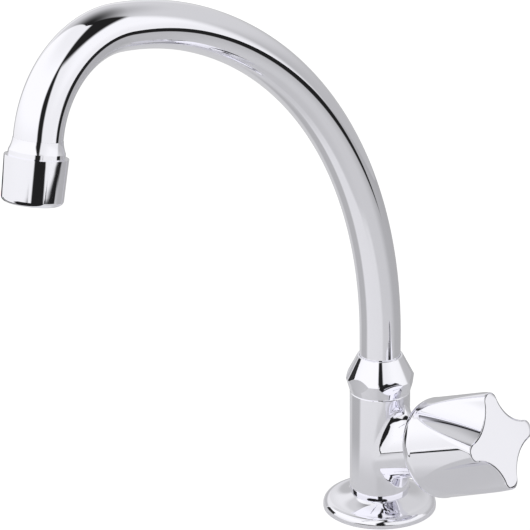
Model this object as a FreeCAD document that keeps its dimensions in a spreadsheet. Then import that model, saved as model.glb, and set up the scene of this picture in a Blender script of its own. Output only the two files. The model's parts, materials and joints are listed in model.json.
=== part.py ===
"""Kitchen pillar tap with a swan-neck swivel spout and an inclined side handle.

Units are millimetres. The origin is on the deck face, on the axis of the tap's body. +Z is up,
the spout points towards -Y and the handle's branch points towards +X and upwards.
"""
import FreeCAD
import Part
import Sketcher
import math
import os
import re

# Driving sizes: alias, value in mm or degrees, meaning
SIZES = [
    ("tube_od", 19.0, "spout tube, outside diameter"),
    ("tube_wall", 1.0, "spout tube, wall"),
    ("riser_run", 9.7, "spout tube, straight run above the gland nut"),
    ("sweep_radius", 176.0, "spout tube, radius of the long rising bend"),
    ("sweep_turn", 71.0, "spout tube, degrees turned by the long rising bend"),
    ("crown_radius", 152.0, "spout tube, radius of the bend at the crown"),
    ("crown_turn", 16.0, "spout tube, degrees turned at the crown"),
    ("drop_radius", 41.4, "spout tube, radius of the tight bend down to the outlet"),
    ("drop_turn", 81.8, "spout tube, degrees turned by the tight bend"),
    ("outlet_run", 5.9, "spout tube, straight run at the outlet"),
    ("flange_od", 53.4, "base flange, diameter"),
    ("flange_edge", 1.0, "base flange, height of the straight edge"),
    ("rim_round", 3.4, "base flange, radius of the rounded rim"),
    ("flange_rise", 7.4, "base flange, height of its neck above the deck"),
    ("neck_od", 27.0, "base flange, diameter of the neck where the body stands"),
    ("neck_hollow", 17.0, "base flange, radius of the hollow curve under the neck"),
    ("gasket_od", 44.0, "flange gasket, outside diameter"),
    ("gasket_thick", 2.0, "flange gasket, thickness"),
    ("body_od", 28.2, "valve body, diameter"),
    ("body_len", 51.6, "valve body, from its foot to the gland nut"),
    ("foot_round", 9.0, "valve body, radius of the curve at its foot"),
    ("foot_rise", 3.8, "valve body, height of the curve at its foot"),
    ("spigot_od", 25.0, "valve body, threaded spigot that the gland nut screws on"),
    ("spigot_len", 8.0, "valve body, length of the threaded spigot"),
    ("socket_od", 20.9, "valve body, bore that the spout's foot turns in"),
    ("socket_deep", 25.5, "valve body, depth of the spout's bore below the spigot's top"),
    ("shank_od", 20.95, "inlet shank, diameter over its G 1/2 thread"),
    ("shank_bore", 13.0, "inlet shank, bore"),
    ("shank_below", 50.0, "inlet shank, length below the deck"),
    ("shank_grip", 9.6, "inlet shank, length screwed into the body"),
    ("shank_chamfer", 1.0, "inlet shank, chamfer at its lower end"),
    ("relief_drop", 2.0, "inlet shank, distance of its thread relief below the back nut"),
    ("relief_wide", 1.5, "inlet shank, width of its thread relief"),
    ("relief_deep", 1.0, "inlet shank, depth of its thread relief"),
    ("shank_ring", 2.0, "inlet shank, thickness of the sealing ring above it"),
    ("inlet_od", 9.0, "valve body, bore from the shank to the seat"),
    ("port_od", 6.4, "valve body, port in the seat of the headwork"),
    ("outlet_od", 6.0, "valve body, bore from the headwork to the spout"),
    ("outlet_shift", 7.2, "valve body, distance of the outlet bore from the body's axis"),
    ("deck_thick", 10.0, "deck that the tap clamps"),
    ("washer_od", 34.0, "washers under the deck, outside diameter"),
    ("rubber_thick", 2.5, "rubber washer under the deck, thickness"),
    ("steel_thick", 1.5, "steel washer under the deck, thickness"),
    ("backnut_flats", 30.0, "back nut, size across flats"),
    ("backnut_thick", 8.0, "back nut, thickness"),
    ("branch_height", 26.1, "branch, height where its axis crosses the body's axis"),
    ("branch_tilt", 21.2, "branch, degrees that its axis rises above the horizontal"),
    ("branch_od", 25.0, "branch, outside diameter"),
    ("branch_reach", 33.5, "branch, its end measured along its axis from the body's axis"),
    ("branch_blend", 8.5, "branch, radius of the blend into the body"),
    ("branch_bore", 16.8, "branch, bore that the headwork screws in"),
    ("seat_reach", 9.0, "branch, seat of the headwork along its axis"),
    ("nut_rim_od", 32.2, "gland nut, diameter at its rim"),
    ("nut_rim_rise", 7.1, "gland nut, height of its rim above its lower face"),
    ("nut_high", 17.9, "gland nut, height"),
    ("nut_top_od", 21.0, "gland nut, diameter of its top face"),
    ("nut_flats", 29.9, "gland nut, size across its six flats"),
    ("nut_turn", 28.0, "gland nut, degrees from the handle's side to the middle of its first flat"),
    ("nut_top_round", 0.4, "gland nut, rounding of its top edge"),
    ("seam_edge", 0.3, "valve body and gland nut, chamfer of both edges at the seam between them"),
    ("stem_wall_low", 3.2, "spout foot, wall of its lower part"),
    ("stem_sink", 11.0, "spout foot, depth that the tube goes in below the foot's collar"),
    ("collar_od", 23.6, "spout foot, diameter of its collar"),
    ("collar_thick", 2.0, "spout foot, thickness of its collar"),
    ("slip_thick", 2.0, "slip ring above the collar, thickness"),
    ("oring_wire", 1.6, "spout O-rings, section diameter"),
    ("oring_low", 4.0, "spout foot, lower groove above the foot's end"),
    ("oring_pitch", 5.0, "spout foot, distance between its two grooves"),
    ("flare_len", 4.6, "outlet adapter, length of its hollow flare"),
    ("flare_od", 21.8, "outlet adapter, diameter at the foot of the flare"),
    ("flare_hollow", 12.0, "outlet adapter, radius of the hollow flare"),
    ("adapter_thread_od", 21.4, "outlet adapter, diameter over its thread"),
    ("adapter_thread_len", 6.0, "outlet adapter, length of its thread"),
    ("housing_gap", 1.9, "aerator housing, distance of its upper face from the end of the tube's bend"),
    ("housing_od", 24.6, "aerator housing, diameter at its upper face"),
    ("housing_end_od", 23.7, "aerator housing, diameter at its lower end"),
    ("housing_len", 17.9, "aerator housing, length"),
    ("housing_round", 2.0, "aerator housing, radius at its lower edge"),
    ("lip_od", 18.4, "aerator housing, opening in its lower end"),
    ("lip_thick", 1.6, "aerator housing, thickness of its lower lip"),
    ("housing_land", 0.7, "aerator housing, step inside that its gasket lies under"),
    ("insert_len", 8.0, "aerator insert, length"),
    ("insert_wall", 1.4, "aerator insert, wall"),
    ("insert_web", 1.6, "aerator insert, thickness of its perforated floor"),
    ("insert_hole", 1.7, "aerator insert, diameter of its holes"),
    ("screen_thick", 0.5, "aerator screens, thickness"),
    ("screen_hole", 1.4, "aerator screens, side of their square holes"),
    ("screen_pitch", 2.2, "aerator screens, pitch of their square holes"),
    ("aergasket_thick", 1.5, "aerator gasket, thickness"),
    ("aergasket_lap", 0.5, "aerator gasket, reach inside the tube's bore"),
    ("headwork_od", 16.7, "headwork, diameter over its thread"),
    ("headwork_skirt", 1.3, "headwork, wall of the skirt round its discs"),
    ("head_flats", 19.0, "headwork, size across the flats of its hexagon"),
    ("head_thick", 4.0, "headwork, thickness of its hexagon"),
    ("head_ring", 0.8, "headwork, thickness of the ring under its hexagon"),
    ("gland_od", 13.6, "headwork, diameter of its upper neck"),
    ("gland_len", 5.6, "headwork, length of its upper neck"),
    ("seal_thick", 1.6, "seat seal, thickness"),
    ("disc_thick", 2.6, "ceramic discs, thickness"),
    ("drive_thick", 3.0, "spindle, thickness of its driving head"),
    ("drive_od", 10.4, "spindle, diameter of its driving head"),
    ("drive_width", 4.0, "spindle, width of the lug that drives the moving disc"),
    ("drive_deep", 1.0, "moving disc, depth of the slot that the lug stands in"),
    ("lug_short", 1.0, "spindle, distance of the lug's ends inside its driving head"),
    ("lug_root", 0.5, "spindle, length of the lug inside its driving head"),
    ("disc_port_od", 4.2, "ceramic discs, diameter of their two ports"),
    ("disc_port_reach", 4.0, "ceramic discs, distance of the ports from the axis"),
    ("spindle_od", 8.0, "spindle, diameter"),
    ("spline_start", 1.0, "spindle, plain length between its clip and its splines"),
    ("spline_len", 10.6, "spindle, length of its splined end"),
    ("spline_deep", 0.4, "spindle, depth of its splines"),
    ("spindle_wire", 1.2, "spindle O-ring, section diameter"),
    ("clip_thick", 0.7, "spindle clip, thickness"),
    ("clip_width", 1.6, "spindle clip, radial width"),
    ("clip_deep", 0.6, "spindle, depth of its groove for the clip"),
    ("screw_od", 4.0, "knob screw, diameter"),
    ("screw_len", 9.0, "knob screw, length under its head"),
    ("screw_head_od", 7.0, "knob screw, diameter of its head"),
    ("screw_head_thick", 2.4, "knob screw, thickness of its head"),
    ("screw_slot", 1.2, "knob screw, width and depth of its slot"),
    ("screw_short", 1.0, "knob screw, distance of its end above the floor of its hole"),
    ("knob_back", 32.6, "knob, its back along the branch's axis"),
    ("knob_skirt", 40.0, "knob, where its flutes run out along the branch's axis"),
    ("knob_reach", 74.9, "knob, its face along the branch's axis"),
    ("knob_skirt_od", 46.4, "knob, diameter of its round skirt"),
    ("knob_tip_od", 44.9, "knob, diameter over the tips of its lobes at the face"),
    ("knob_waist_od", 26.6, "knob, diameter between opposite hollows at the face"),
    ("knob_flute", 18.7, "knob, radius of its flutes across"),
    ("knob_tip_round", 4.35, "knob, rounding between its skirt's circle and its flutes"),
    ("knob_shoulder", 6.5, "knob, rounding of its back edge"),
    ("knob_cup_od", 36.0, "knob, cavity over the end of the branch"),
    ("knob_wall", 2.0, "knob, wall of its fluted part"),
    ("knob_web", 3.0, "knob, thickness of the web between its hub and its wall"),
    ("hub_od", 14.0, "knob, diameter of its hub"),
    ("hub_rise", 0.4, "knob, distance of its hub beyond the start of the splines"),
    ("hub_floor", 2.6, "knob, thickness of its hub's floor under the screw's head"),
    ("knob_phase", -1.6, "knob, degrees that its lobes stand off the branch's upright plane"),
    ("face_thick", 1.5, "knob's face plate, thickness"),
    ("face_inset", 0.35, "knob's face plate, distance of its edge inside the knob's edge"),
    ("face_plug_len", 3.0, "knob's face plate, length of the plug at its back"),
    ("fit_gap", 0.03, "radial gap of threads and pressed pieces"),
    ("run_gap", 0.05, "radial gap of turning pieces"),
    ("face_gap", 0.10, "gap between flat faces that turn past each other"),
    ("touch_gap", 0.01, "gap of an O-ring's section in its groove"),
    ("loose_gap", 0.3, "radial gap of washers and gaskets on the shank"),
    ("spare", 1.0, "reach of a cutting outline beyond the solid that it cuts"),
]

# Derived sizes and places: name, FreeCAD expression; bare names are turned into full ones
PLACES = [
    ("tube_r", "tube_od / 2"),
    ("body_r", "body_od / 2"),
    ("shank_r", "shank_od / 2"),
    ("plate_rise", "flange_edge + rim_round"),
    ("flange_r", "flange_od / 2"),
    ("flat_r", "flange_r - rim_round"),
    ("neck_r", "neck_od / 2"),
    ("neck_end_r", "neck_r + sqrt(neck_hollow ^ 2 - (neck_hollow + plate_rise - flange_rise) ^ 2)"),
    ("shank_hole_r", "shank_r + run_gap"),
    ("gasket_r", "gasket_od / 2"),
    ("gasket_hole_r", "shank_r + loose_gap"),
    ("recess_r", "gasket_r + fit_gap"),
    ("foot_r", "body_r - foot_round + sqrt(foot_round ^ 2 - foot_rise ^ 2)"),
    ("foot_top", "flange_rise + foot_rise"),
    ("nut_seat", "flange_rise + body_len"),
    ("spigot_r", "spigot_od / 2"),
    ("spigot_top", "nut_seat + spigot_len"),
    ("socket_r", "socket_od / 2"),
    ("socket_floor", "spigot_top - socket_deep"),
    ("shank_top", "flange_rise + shank_grip"),
    ("shank_cup_r", "shank_r + fit_gap"),
    ("shank_cup_top", "shank_top + shank_ring"),
    ("shank_end", "0 - shank_below"),
    ("bore_r", "shank_bore / 2"),
    ("inlet_r", "inlet_od / 2"),
    ("port_r", "port_od / 2"),
    ("outlet_r", "outlet_od / 2"),
    ("washer_r", "washer_od / 2"),
    ("rubber_top", "0 - deck_thick"),
    ("rubber_low", "rubber_top - rubber_thick"),
    ("steel_low", "rubber_low - steel_thick"),
    ("backnut_low", "steel_low - backnut_thick"),
    ("backnut_flat_r", "backnut_flats / 2"),
    ("backnut_corner_r", "backnut_flat_r / cos(30)"),
    ("relief_top", "backnut_low - relief_drop"),
    ("relief_low", "relief_top - relief_wide"),
    ("relief_r", "shank_r - relief_deep"),
    ("branch_r", "branch_od / 2"),
    ("branch_bore_r", "branch_bore / 2"),
    ("nut_rim_r", "nut_rim_od / 2"),
    ("nut_rim_z", "nut_seat + nut_rim_rise"),
    ("nut_top", "nut_seat + nut_high"),
    ("nut_top_r", "nut_top_od / 2"),
    ("nut_flat_r", "nut_flats / 2"),
    ("nut_thread_r", "spigot_r + fit_gap"),
    ("nut_bore_r", "tube_r + face_gap"),
    ("nut_cup_r", "collar_r + 2 * face_gap"),
    ("stem_r", "socket_r - run_gap"),
    ("stem_bore_r", "stem_r - stem_wall_low"),
    ("stem_low", "socket_floor + loose_gap"),
    ("collar_r", "collar_od / 2"),
    ("collar_low", "spigot_top + face_gap"),
    ("collar_top", "collar_low + collar_thick"),
    ("tube_foot", "collar_low - stem_sink"),
    ("tube_cup_r", "tube_r + fit_gap"),
    ("slip_low", "collar_top + face_gap"),
    ("slip_top", "slip_low + slip_thick"),
    ("slip_r", "collar_r"),
    ("groove_floor_r", "stem_r - oring_wire"),
    ("groove_half", "oring_wire / 2 + face_gap"),
    ("oring_low_z", "stem_low + oring_low"),
    ("oring_high_z", "oring_low_z + oring_pitch"),
    ("oring_mid_r", "stem_r - oring_wire / 2"),
    ("oring_wire_r", "oring_wire / 2 - touch_gap"),
    ("bend_start", "nut_top + riser_run"),
    ("turn_two", "sweep_turn + crown_turn"),
    ("turn_all", "turn_two + drop_turn"),
    ("reach_one", "sweep_radius * (1 - cos(sweep_turn))"),
    ("rise_one", "bend_start + sweep_radius * sin(sweep_turn)"),
    ("reach_two", "reach_one + crown_radius * (cos(sweep_turn) - cos(turn_two))"),
    ("rise_two", "rise_one + crown_radius * (sin(turn_two) - sin(sweep_turn))"),
    ("reach_three", "reach_two + drop_radius * (cos(turn_two) - cos(turn_all))"),
    ("rise_three", "rise_two + drop_radius * (sin(turn_all) - sin(turn_two))"),
    ("reach_end", "reach_three + outlet_run * sin(turn_all)"),
    ("rise_end", "rise_three + outlet_run * cos(turn_all)"),
    ("flare_top", "0 - flare_len"),
    ("flare_top_r", "tube_cup_r + face_gap"),
    ("flare_r", "flare_od / 2"),
    ("adapter_thread_r", "adapter_thread_od / 2"),
    ("adapter_end", "housing_gap + adapter_thread_len"),
    ("housing_r", "housing_od / 2"),
    ("housing_end_r", "housing_end_od / 2"),
    ("housing_end", "housing_gap + housing_len"),
    ("housing_thread_r", "adapter_thread_r + fit_gap"),
    ("lip_r", "lip_od / 2"),
    ("lip_top", "housing_end - lip_thick"),
    ("housing_bore_r", "adapter_thread_r - housing_land"),
    ("insert_r", "housing_bore_r - fit_gap"),
    ("insert_top", "lip_top - insert_len"),
    ("insert_web_top", "lip_top - insert_web"),
    ("insert_bore_r", "insert_r - insert_wall"),
    ("screen_r", "insert_bore_r - fit_gap"),
    ("screen_low", "insert_top + 2 * screen_thick"),
    ("insert_hole_r", "insert_hole / 2"),
    ("hole_row_1", "insert_bore_r * 0.30"),
    ("hole_row_2", "insert_bore_r * 0.58"),
    ("hole_row_3", "insert_bore_r * 0.86"),
    ("aergasket_end", "adapter_end + aergasket_thick"),
    ("aergasket_hole_r", "tube_r - tube_wall - aergasket_lap"),
    ("headwork_r", "headwork_od / 2"),
    ("headwork_low", "seat_reach + seal_thick"),
    ("cage_r", "headwork_r - headwork_skirt"),
    ("disc_r", "cage_r - run_gap"),
    ("disc_low", "headwork_low + face_gap"),
    ("disc_joint", "disc_low + disc_thick"),
    ("disc_moving_low", "disc_joint + face_gap / 5"),
    ("disc_moving_top", "disc_moving_low + disc_thick"),
    ("disc_port_r", "disc_port_od / 2"),
    ("slot_half", "drive_width / 2"),
    ("drive_r", "drive_od / 2"),
    ("drive_low", "disc_moving_top + face_gap"),
    ("slot_floor", "disc_moving_top - drive_deep"),
    ("lug_half", "drive_width / 2 - fit_gap"),
    ("lug_low", "slot_floor + face_gap"),
    ("drive_top", "drive_low + drive_thick"),
    ("cage_top", "drive_top + face_gap"),
    ("head_low", "branch_reach + head_ring"),
    ("head_top", "head_low + head_thick"),
    ("head_corner_r", "head_flats / 2 / cos(30)"),
    ("head_ring_r", "head_flats / 2"),
    ("head_ring_hole_r", "headwork_r + fit_gap"),
    ("gland_r", "gland_od / 2"),
    ("gland_top", "head_top + gland_len"),
    ("spindle_r", "spindle_od / 2"),
    ("spindle_hole_r", "spindle_r + run_gap"),
    ("clip_low", "gland_top + face_gap"),
    ("clip_top", "clip_low + clip_thick"),
    ("clip_inner_r", "spindle_r - clip_deep"),
    ("clip_outer_r", "clip_inner_r + clip_width"),
    ("spline_low", "clip_top + spline_start"),
    ("spline_top", "spline_low + spline_len"),
    ("spline_cutter_r", "spline_deep + face_gap"),
    ("spline_cutter_shift", "spindle_r + face_gap"),
    ("packing_z", "head_top + gland_len / 2"),
    ("packing_half", "spindle_wire / 2 + face_gap"),
    ("packing_floor_r", "spindle_r - spindle_wire"),
    ("packing_mid_r", "spindle_r - spindle_wire / 2"),
    ("packing_wire_r", "spindle_wire / 2 - touch_gap"),
    ("tap_hole_low", "spline_top - screw_len"),
    ("screw_r", "screw_od / 2"),
    ("tap_hole_r", "screw_r + fit_gap"),
    ("hub_bore_r", "spindle_r + fit_gap"),
    ("hub_top", "spline_top + hub_floor"),
    ("screw_head_r", "screw_head_od / 2"),
    ("screw_end", "tap_hole_low + screw_short"),
    ("screw_top", "hub_top + screw_head_thick"),
    ("screw_slot_floor", "screw_top - screw_slot"),
    ("screw_slot_half", "screw_slot / 2"),
    ("knob_cup_r", "knob_cup_od / 2"),
    ("knob_cup_top", "spline_low + hub_rise"),
    ("knob_web_top", "knob_cup_top + knob_web"),
    ("hub_r", "hub_od / 2"),
    ("knob_shell_reach", "knob_reach - face_thick"),
    ("face_plug_low", "knob_shell_reach - face_plug_len"),
]

HOLES_IN_FIRST_ROW = 6
HEXAGON_SIDES = 6
SPLINE_COUNT = 18
KNOB_SECTIONS = 8
STATION_POWER = 1.5
LOBE_POINTS = 20
LOBES = 4

doc = FreeCAD.newDocument("PillarTap")


def make_sheet():
    """Put the driving sizes in a spreadsheet, one alias for each."""
    sheet = doc.addObject("Spreadsheet::Sheet", "Sizes")
    for row, (alias, value, meaning) in enumerate(SIZES, start=1):
        sheet.set(f"A{row}", meaning)
        sheet.set(f"B{row}", str(value))
        sheet.setAlias(f"B{row}", alias)
    doc.recompute()
    return sheet


SIZE_NAMES = {alias for alias, value, meaning in SIZES}
PLACE_NAMES = {name for name, expression in PLACES}


def full(text, inside_places=False):
    """Write an expression's bare names out in full, each with its owner."""
    def owner(match):
        word = match.group(0)
        if word in SIZE_NAMES:
            return "Sizes." + word
        if word in PLACE_NAMES and not inside_places:
            return "Places." + word
        return word
    return re.sub(r"[a-z][a-z0-9_]*", owner, text)


def make_places():
    """Work out the derived sizes and places from the sheet."""
    places = doc.addObject("App::VarSet", "Places")
    for name, expression in PLACES:
        places.addProperty("App::PropertyFloat", name, "Places")
    for name, expression in PLACES:
        places.setExpression(name, full(expression, inside_places=True))
    doc.recompute()
    return places


sheet = make_sheet()
places = make_places()


def amount(text):
    """The value of a sum of names and numbers, such as "body_r - 2"."""
    total = 0.0
    sign = 1
    for word in text.split():
        if word == "+":
            sign = 1
        elif word == "-":
            sign = -1
        elif word in SIZE_NAMES:
            total += sign * float(sheet.get(word))
        elif word in PLACE_NAMES:
            total += sign * getattr(places, word)
        else:
            total += sign * float(word)
    return total


def new_body(label, along=None):
    """A PartDesign body; along puts its Z axis on the branch's axis or on the outlet's axis."""
    body = doc.addObject("PartDesign::Body", label)
    body.Label = label
    if along == "branch":
        lay_on_branch(body)
    elif along == "outlet":
        body.Placement.Rotation = FreeCAD.Rotation(FreeCAD.Vector(1, 0, 0), amount("turn_all"))
        body.setExpression("Placement.Rotation.Angle", "Places.turn_all")
        body.setExpression("Placement.Base.y", "-Places.reach_end")
        body.setExpression("Placement.Base.z", "Places.rise_end")
    return body


def lay_on_branch(item):
    """Turn an object so that its Z axis is the branch's axis, from the body's axis outwards."""
    item.Placement.Rotation = FreeCAD.Rotation(FreeCAD.Vector(0, 1, 0), 90 - amount("branch_tilt"))
    item.setExpression("Placement.Rotation.Angle", "90 - Sizes.branch_tilt")
    item.setExpression("Placement.Base.z", "Sizes.branch_height")


def origin_part(body, role):
    """One plane or axis of a body's own origin, found by its role."""
    return next(item for item in body.Origin.OriginFeatures if item.Role == role)


def new_sketch(body, name, plane, height=None):
    """A sketch on one of the body's own planes, raised along the plane's normal by height."""
    sketch = body.newObject("Sketcher::SketchObject", name)
    sketch.AttachmentSupport = [(origin_part(body, plane), "")]
    sketch.MapMode = "FlatFace"
    if height is not None:
        sketch.AttachmentOffset.Base.z = amount(height)
        sketch.setExpression("AttachmentOffset.Base.z", full(height))
    return sketch


def pin_point(sketch, geometry, end, across, up):
    """Hold one point of a sketch at a distance across and up from its origin."""
    for kind, axis, text in (("DistanceX", -2, across), ("DistanceY", -1, up)):
        if text == "0":
            sketch.addConstraint(Sketcher.Constraint("PointOnObject", geometry, end, axis))
            continue
        index = sketch.addConstraint(Sketcher.Constraint(kind, -1, 1, geometry, end, amount(text)))
        sketch.setExpression(f"Constraints[{index}]", full(text))


def arc_between(start, end, radius, left):
    """An arc of a circle from start to end; left says on which side of the chord its centre is."""
    chord = end - start
    middle = (start + end) * 0.5
    side = FreeCAD.Vector(-chord.y, chord.x, 0).normalize()
    if not left:
        side = side * -1
    offset = math.sqrt(radius ** 2 - (chord.Length / 2) ** 2)
    centre = middle + side * offset
    near = middle - centre
    crown = centre + near.normalize() * radius
    return Part.Arc(start, crown, end)


def outline(sketch, corners, closed=True):
    """Draw lines and arcs through corners and hold each corner by its expressions.

    A corner is (across, up) or (across, up, radius, left), where the piece that arrives at
    the corner is an arc of that radius whose centre is to the left or right of its way.
    """
    points = [FreeCAD.Vector(amount(corner[0]), amount(corner[1]), 0) for corner in corners]
    count = len(corners)
    pieces = []
    for index in range(count if closed else count - 1):
        after = (index + 1) % count
        start, end = points[index], points[after]
        if len(corners[after]) == 2:
            piece = sketch.addGeometry(Part.LineSegment(start, end))
            pieces.append((piece, 1, 2))
            continue
        radius, left = corners[after][2:]
        arc = arc_between(start, end, amount(radius), left)
        if left:
            piece = sketch.addGeometry(arc)
            pieces.append((piece, 1, 2))
        else:
            piece = sketch.addGeometry(arc_between(end, start, amount(radius), True))
            pieces.append((piece, 2, 1))
        held = sketch.addConstraint(Sketcher.Constraint("Radius", piece, amount(radius)))
        sketch.setExpression(f"Constraints[{held}]", full(radius))
    for index, (piece, first, last) in enumerate(pieces):
        pin_point(sketch, piece, first, corners[index][0], corners[index][1])
        if index + 1 < len(pieces) or closed:
            follower, start_end = pieces[(index + 1) % len(pieces)][:2]
            sketch.addConstraint(Sketcher.Constraint("Coincident", piece, last, follower, start_end))
        else:
            pin_point(sketch, piece, last, corners[-1][0], corners[-1][1])
    return sketch


def circles(sketch, items):
    """Draw circles, each (across, up, radius) with expressions."""
    for across, up, radius in items:
        centre = FreeCAD.Vector(amount(across), amount(up), 0)
        circle = Part.Circle(centre, FreeCAD.Vector(0, 0, 1), amount(radius))
        piece = sketch.addGeometry(circle)
        pin_point(sketch, piece, 3, across, up)
        held = sketch.addConstraint(Sketcher.Constraint("Radius", piece, amount(radius)))
        sketch.setExpression(f"Constraints[{held}]", full(radius))
    return sketch


def turn_profile(body, name, corners):
    """Revolve a closed outline, given as radius and height, about the body's Z axis."""
    revolve(body, name, outline(new_sketch(body, name + "_profile", "XZ_Plane"), corners))


def revolve(body, name, sketch):
    """Turn a sketch once round the body's Z axis."""
    turned = body.newObject("PartDesign::Revolution", name + "_turned")
    turned.Profile = sketch
    turned.ReferenceAxis = (sketch, ["V_Axis"])
    turned.Angle = 360


def turned_piece(label, corners, along=None):
    """A body that is one revolved outline."""
    body = new_body(label, along)
    turn_profile(body, label, corners)
    return body


def ring_corners(inner, outer, low, high):
    """The four corners of a plain ring's section."""
    return [(inner, low), (outer, low), (outer, high), (inner, high)]


def ring_piece(label, inner, outer, low, high, along=None):
    """A plain turned ring."""
    return turned_piece(label, ring_corners(inner, outer, low, high), along)


def cut_through(body, name, sketch):
    """Pocket a sketch right through the body, both ways."""
    pocket = body.newObject("PartDesign::Pocket", name)
    pocket.Profile = sketch
    pocket.Type = "ThroughAll"
    pocket.Midplane = True
    return pocket


def repeat_round(body, name, feature, count):
    """Repeat a feature about the body's Z axis."""
    pattern = body.newObject("PartDesign::PolarPattern", name)
    pattern.Originals = [feature]
    pattern.Axis = (origin_part(body, "Z_Axis"), [""])
    pattern.Angle = 360
    pattern.Occurrences = count
    body.Tip = pattern
    return pattern


def edges_at(shape, radius, height):
    """Names of the circular edges of a radius about Z at a height."""
    names = []
    for index, edge in enumerate(shape.Edges, start=1):
        box = edge.BoundBox
        right_size = abs(box.XMax - radius) < 1e-3 and abs(box.YMax - radius) < 1e-3
        if right_size and abs(box.ZMin - height) < 1e-3 and abs(box.ZMax - height) < 1e-3:
            names.append(f"Edge{index}")
    return names


def round_edges(body, name, spots, radius):
    """Fillet the circular edges at the given (radius, height) spots of the body's tip."""
    doc.recompute()
    base = body.Tip
    shape = base.Shape
    names = []
    for spot_radius, spot_height in spots:
        names += edges_at(shape, amount(spot_radius), amount(spot_height))
    fillet = body.newObject("PartDesign::Fillet", name)
    fillet.Base = (base, names)
    fillet.Radius = amount(radius)
    fillet.setExpression("Radius", full(radius))
    return fillet


def oring(label, mid_radius, wire_radius, height, along=None):
    """A ring of round section."""
    body = new_body(label, along)
    sketch = new_sketch(body, label + "_section", "XZ_Plane")
    revolve(body, label, circles(sketch, [(mid_radius, height, wire_radius)]))
    return body


def primitive_cylinder(name, radius, low, high, branch=False, shift=None):
    """A Part cylinder about the body's axis or the branch's axis, from low to high."""
    cylinder = doc.addObject("Part::Cylinder", name)
    cylinder.Radius = amount(radius)
    cylinder.setExpression("Radius", full(radius))
    cylinder.Height = amount(high) - amount(low)
    cylinder.setExpression("Height", f"{full(high)} - ({full(low)})")
    if branch:
        lay_on_branch(cylinder)
        tilt = "Sizes.branch_tilt"
        cylinder.setExpression("Placement.Base.x", f"({full(low)}) * cos({tilt})")
        cylinder.setExpression("Placement.Base.z", f"Sizes.branch_height + ({full(low)}) * sin({tilt})")
    else:
        cylinder.setExpression("Placement.Base.z", full(low))
        if shift:
            cylinder.setExpression("Placement.Base.x", full(shift))
    return cylinder


def joined(name, items):
    """One Part fusion of several objects."""
    fusion = doc.addObject("Part::MultiFuse", name)
    fusion.Shapes = items
    return fusion


def cut(label, base, tool):
    """One Part object cut by another."""
    result = doc.addObject("Part::Cut", label)
    result.Label = label
    result.Base = base
    result.Tool = tool
    return result


# Fixed pieces below and on the deck

def make_base_flange():
    """Round flange: flat plate with a rounded rim and a hollow curve up to the neck."""
    corners = [
        ("shank_hole_r", "gasket_thick"),
        ("recess_r", "gasket_thick"),
        ("recess_r", "0"),
        ("flange_r", "0"),
        ("flange_r", "flange_edge"),
        ("flat_r", "plate_rise", "rim_round", True),
        ("neck_end_r", "plate_rise"),
        ("neck_r", "flange_rise", "neck_hollow", False),
        ("shank_hole_r", "flange_rise"),
    ]
    return turned_piece("base_flange", corners)


def make_flange_gasket():
    """Rubber ring in the flange's recess, level with the deck face."""
    return ring_piece("flange_gasket", "gasket_hole_r", "gasket_r", "0", "gasket_thick")


def make_inlet_shank():
    """Threaded tail below the deck, its upper end screwed into the body.

    A thread relief divides the length for the back nut from the end that the supply screws on.
    """
    corners = [
        ("bore_r", "shank_end"),
        ("shank_r - shank_chamfer", "shank_end"),
        ("shank_r", "shank_end + shank_chamfer"),
        ("shank_r", "relief_low"),
        ("relief_r", "relief_low"),
        ("relief_r", "relief_top"),
        ("shank_r", "relief_top"),
        ("shank_r", "shank_top"),
        ("bore_r", "shank_top"),
    ]
    return turned_piece("inlet_shank", corners)


def make_back_nut():
    """Hexagonal nut on the shank."""
    body = ring_piece("back_nut", "shank_cup_r", "backnut_corner_r", "backnut_low", "steel_low")
    cut_hexagon(body, "backnut_flat_r", "backnut_corner_r + spare")
    return body


def cut_hexagon(body, near, outer):
    """Cut six flats on a turned body, near its axis by near and as far out as outer."""
    sketch = new_sketch(body, body.Label + "_flat_shape", "XY_Plane")
    across_block(sketch, outer, near, near, "0 - " + near)
    pocket = cut_through(body, body.Label + "_flat", sketch)
    return repeat_round(body, body.Label + "_flats", pocket, HEXAGON_SIDES)


# Valve body

def make_valve_body():
    """Upright trunk with the inclined branch blended into it, bored for all that it holds."""
    trunk = new_body("valve_trunk")
    corners = [
        ("0", "flange_rise"),
        ("foot_r", "flange_rise"),
        ("body_r", "foot_top", "foot_round", True),
        ("body_r", "nut_seat - seam_edge"),
        ("body_r - seam_edge", "nut_seat"),
        ("spigot_r", "nut_seat"),
        ("spigot_r", "spigot_top"),
        ("0", "spigot_top"),
    ]
    turn_profile(trunk, "valve_trunk", corners)
    branch = primitive_cylinder("valve_branch", "branch_r", "0", "branch_reach", branch=True)
    solid = joined("valve_solid", [trunk, branch])
    doc.recompute()
    blend = doc.addObject("Part::Fillet", "valve_blend")
    blend.Base = solid
    radius = amount("branch_blend")
    blend.Edges = [(index, radius, radius) for index in blend_edges(solid.Shape)]
    bores = joined("valve_bores", [
        primitive_cylinder("shank_cup", "shank_cup_r", "flange_rise", "shank_cup_top"),
        primitive_cylinder("inlet_bore", "inlet_r", "flange_rise", "branch_height"),
        primitive_cylinder("seat_port", "port_r", "0", "seat_reach", branch=True),
        primitive_cylinder("branch_cavity", "branch_bore_r", "seat_reach", "branch_reach", branch=True),
        primitive_cylinder("outlet_bore", "outlet_r", "branch_height + branch_bore_r", "socket_floor",
                           shift="outlet_shift"),
        primitive_cylinder("spout_socket", "socket_r", "socket_floor", "spigot_top"),
    ])
    return cut("valve_body", blend, bores)


def blend_edges(shape):
    """Indexes of the edges where the branch meets the trunk."""
    found = []
    outside = amount("body_r")
    for index, edge in enumerate(shape.Edges, start=1):
        box = edge.BoundBox
        low_enough = box.ZMin > amount("foot_top") and box.ZMax < amount("nut_seat") - 1
        if low_enough and box.XMax < outside + 1 and box.ZLength > amount("branch_r"):
            found.append(index)
    return found


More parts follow.
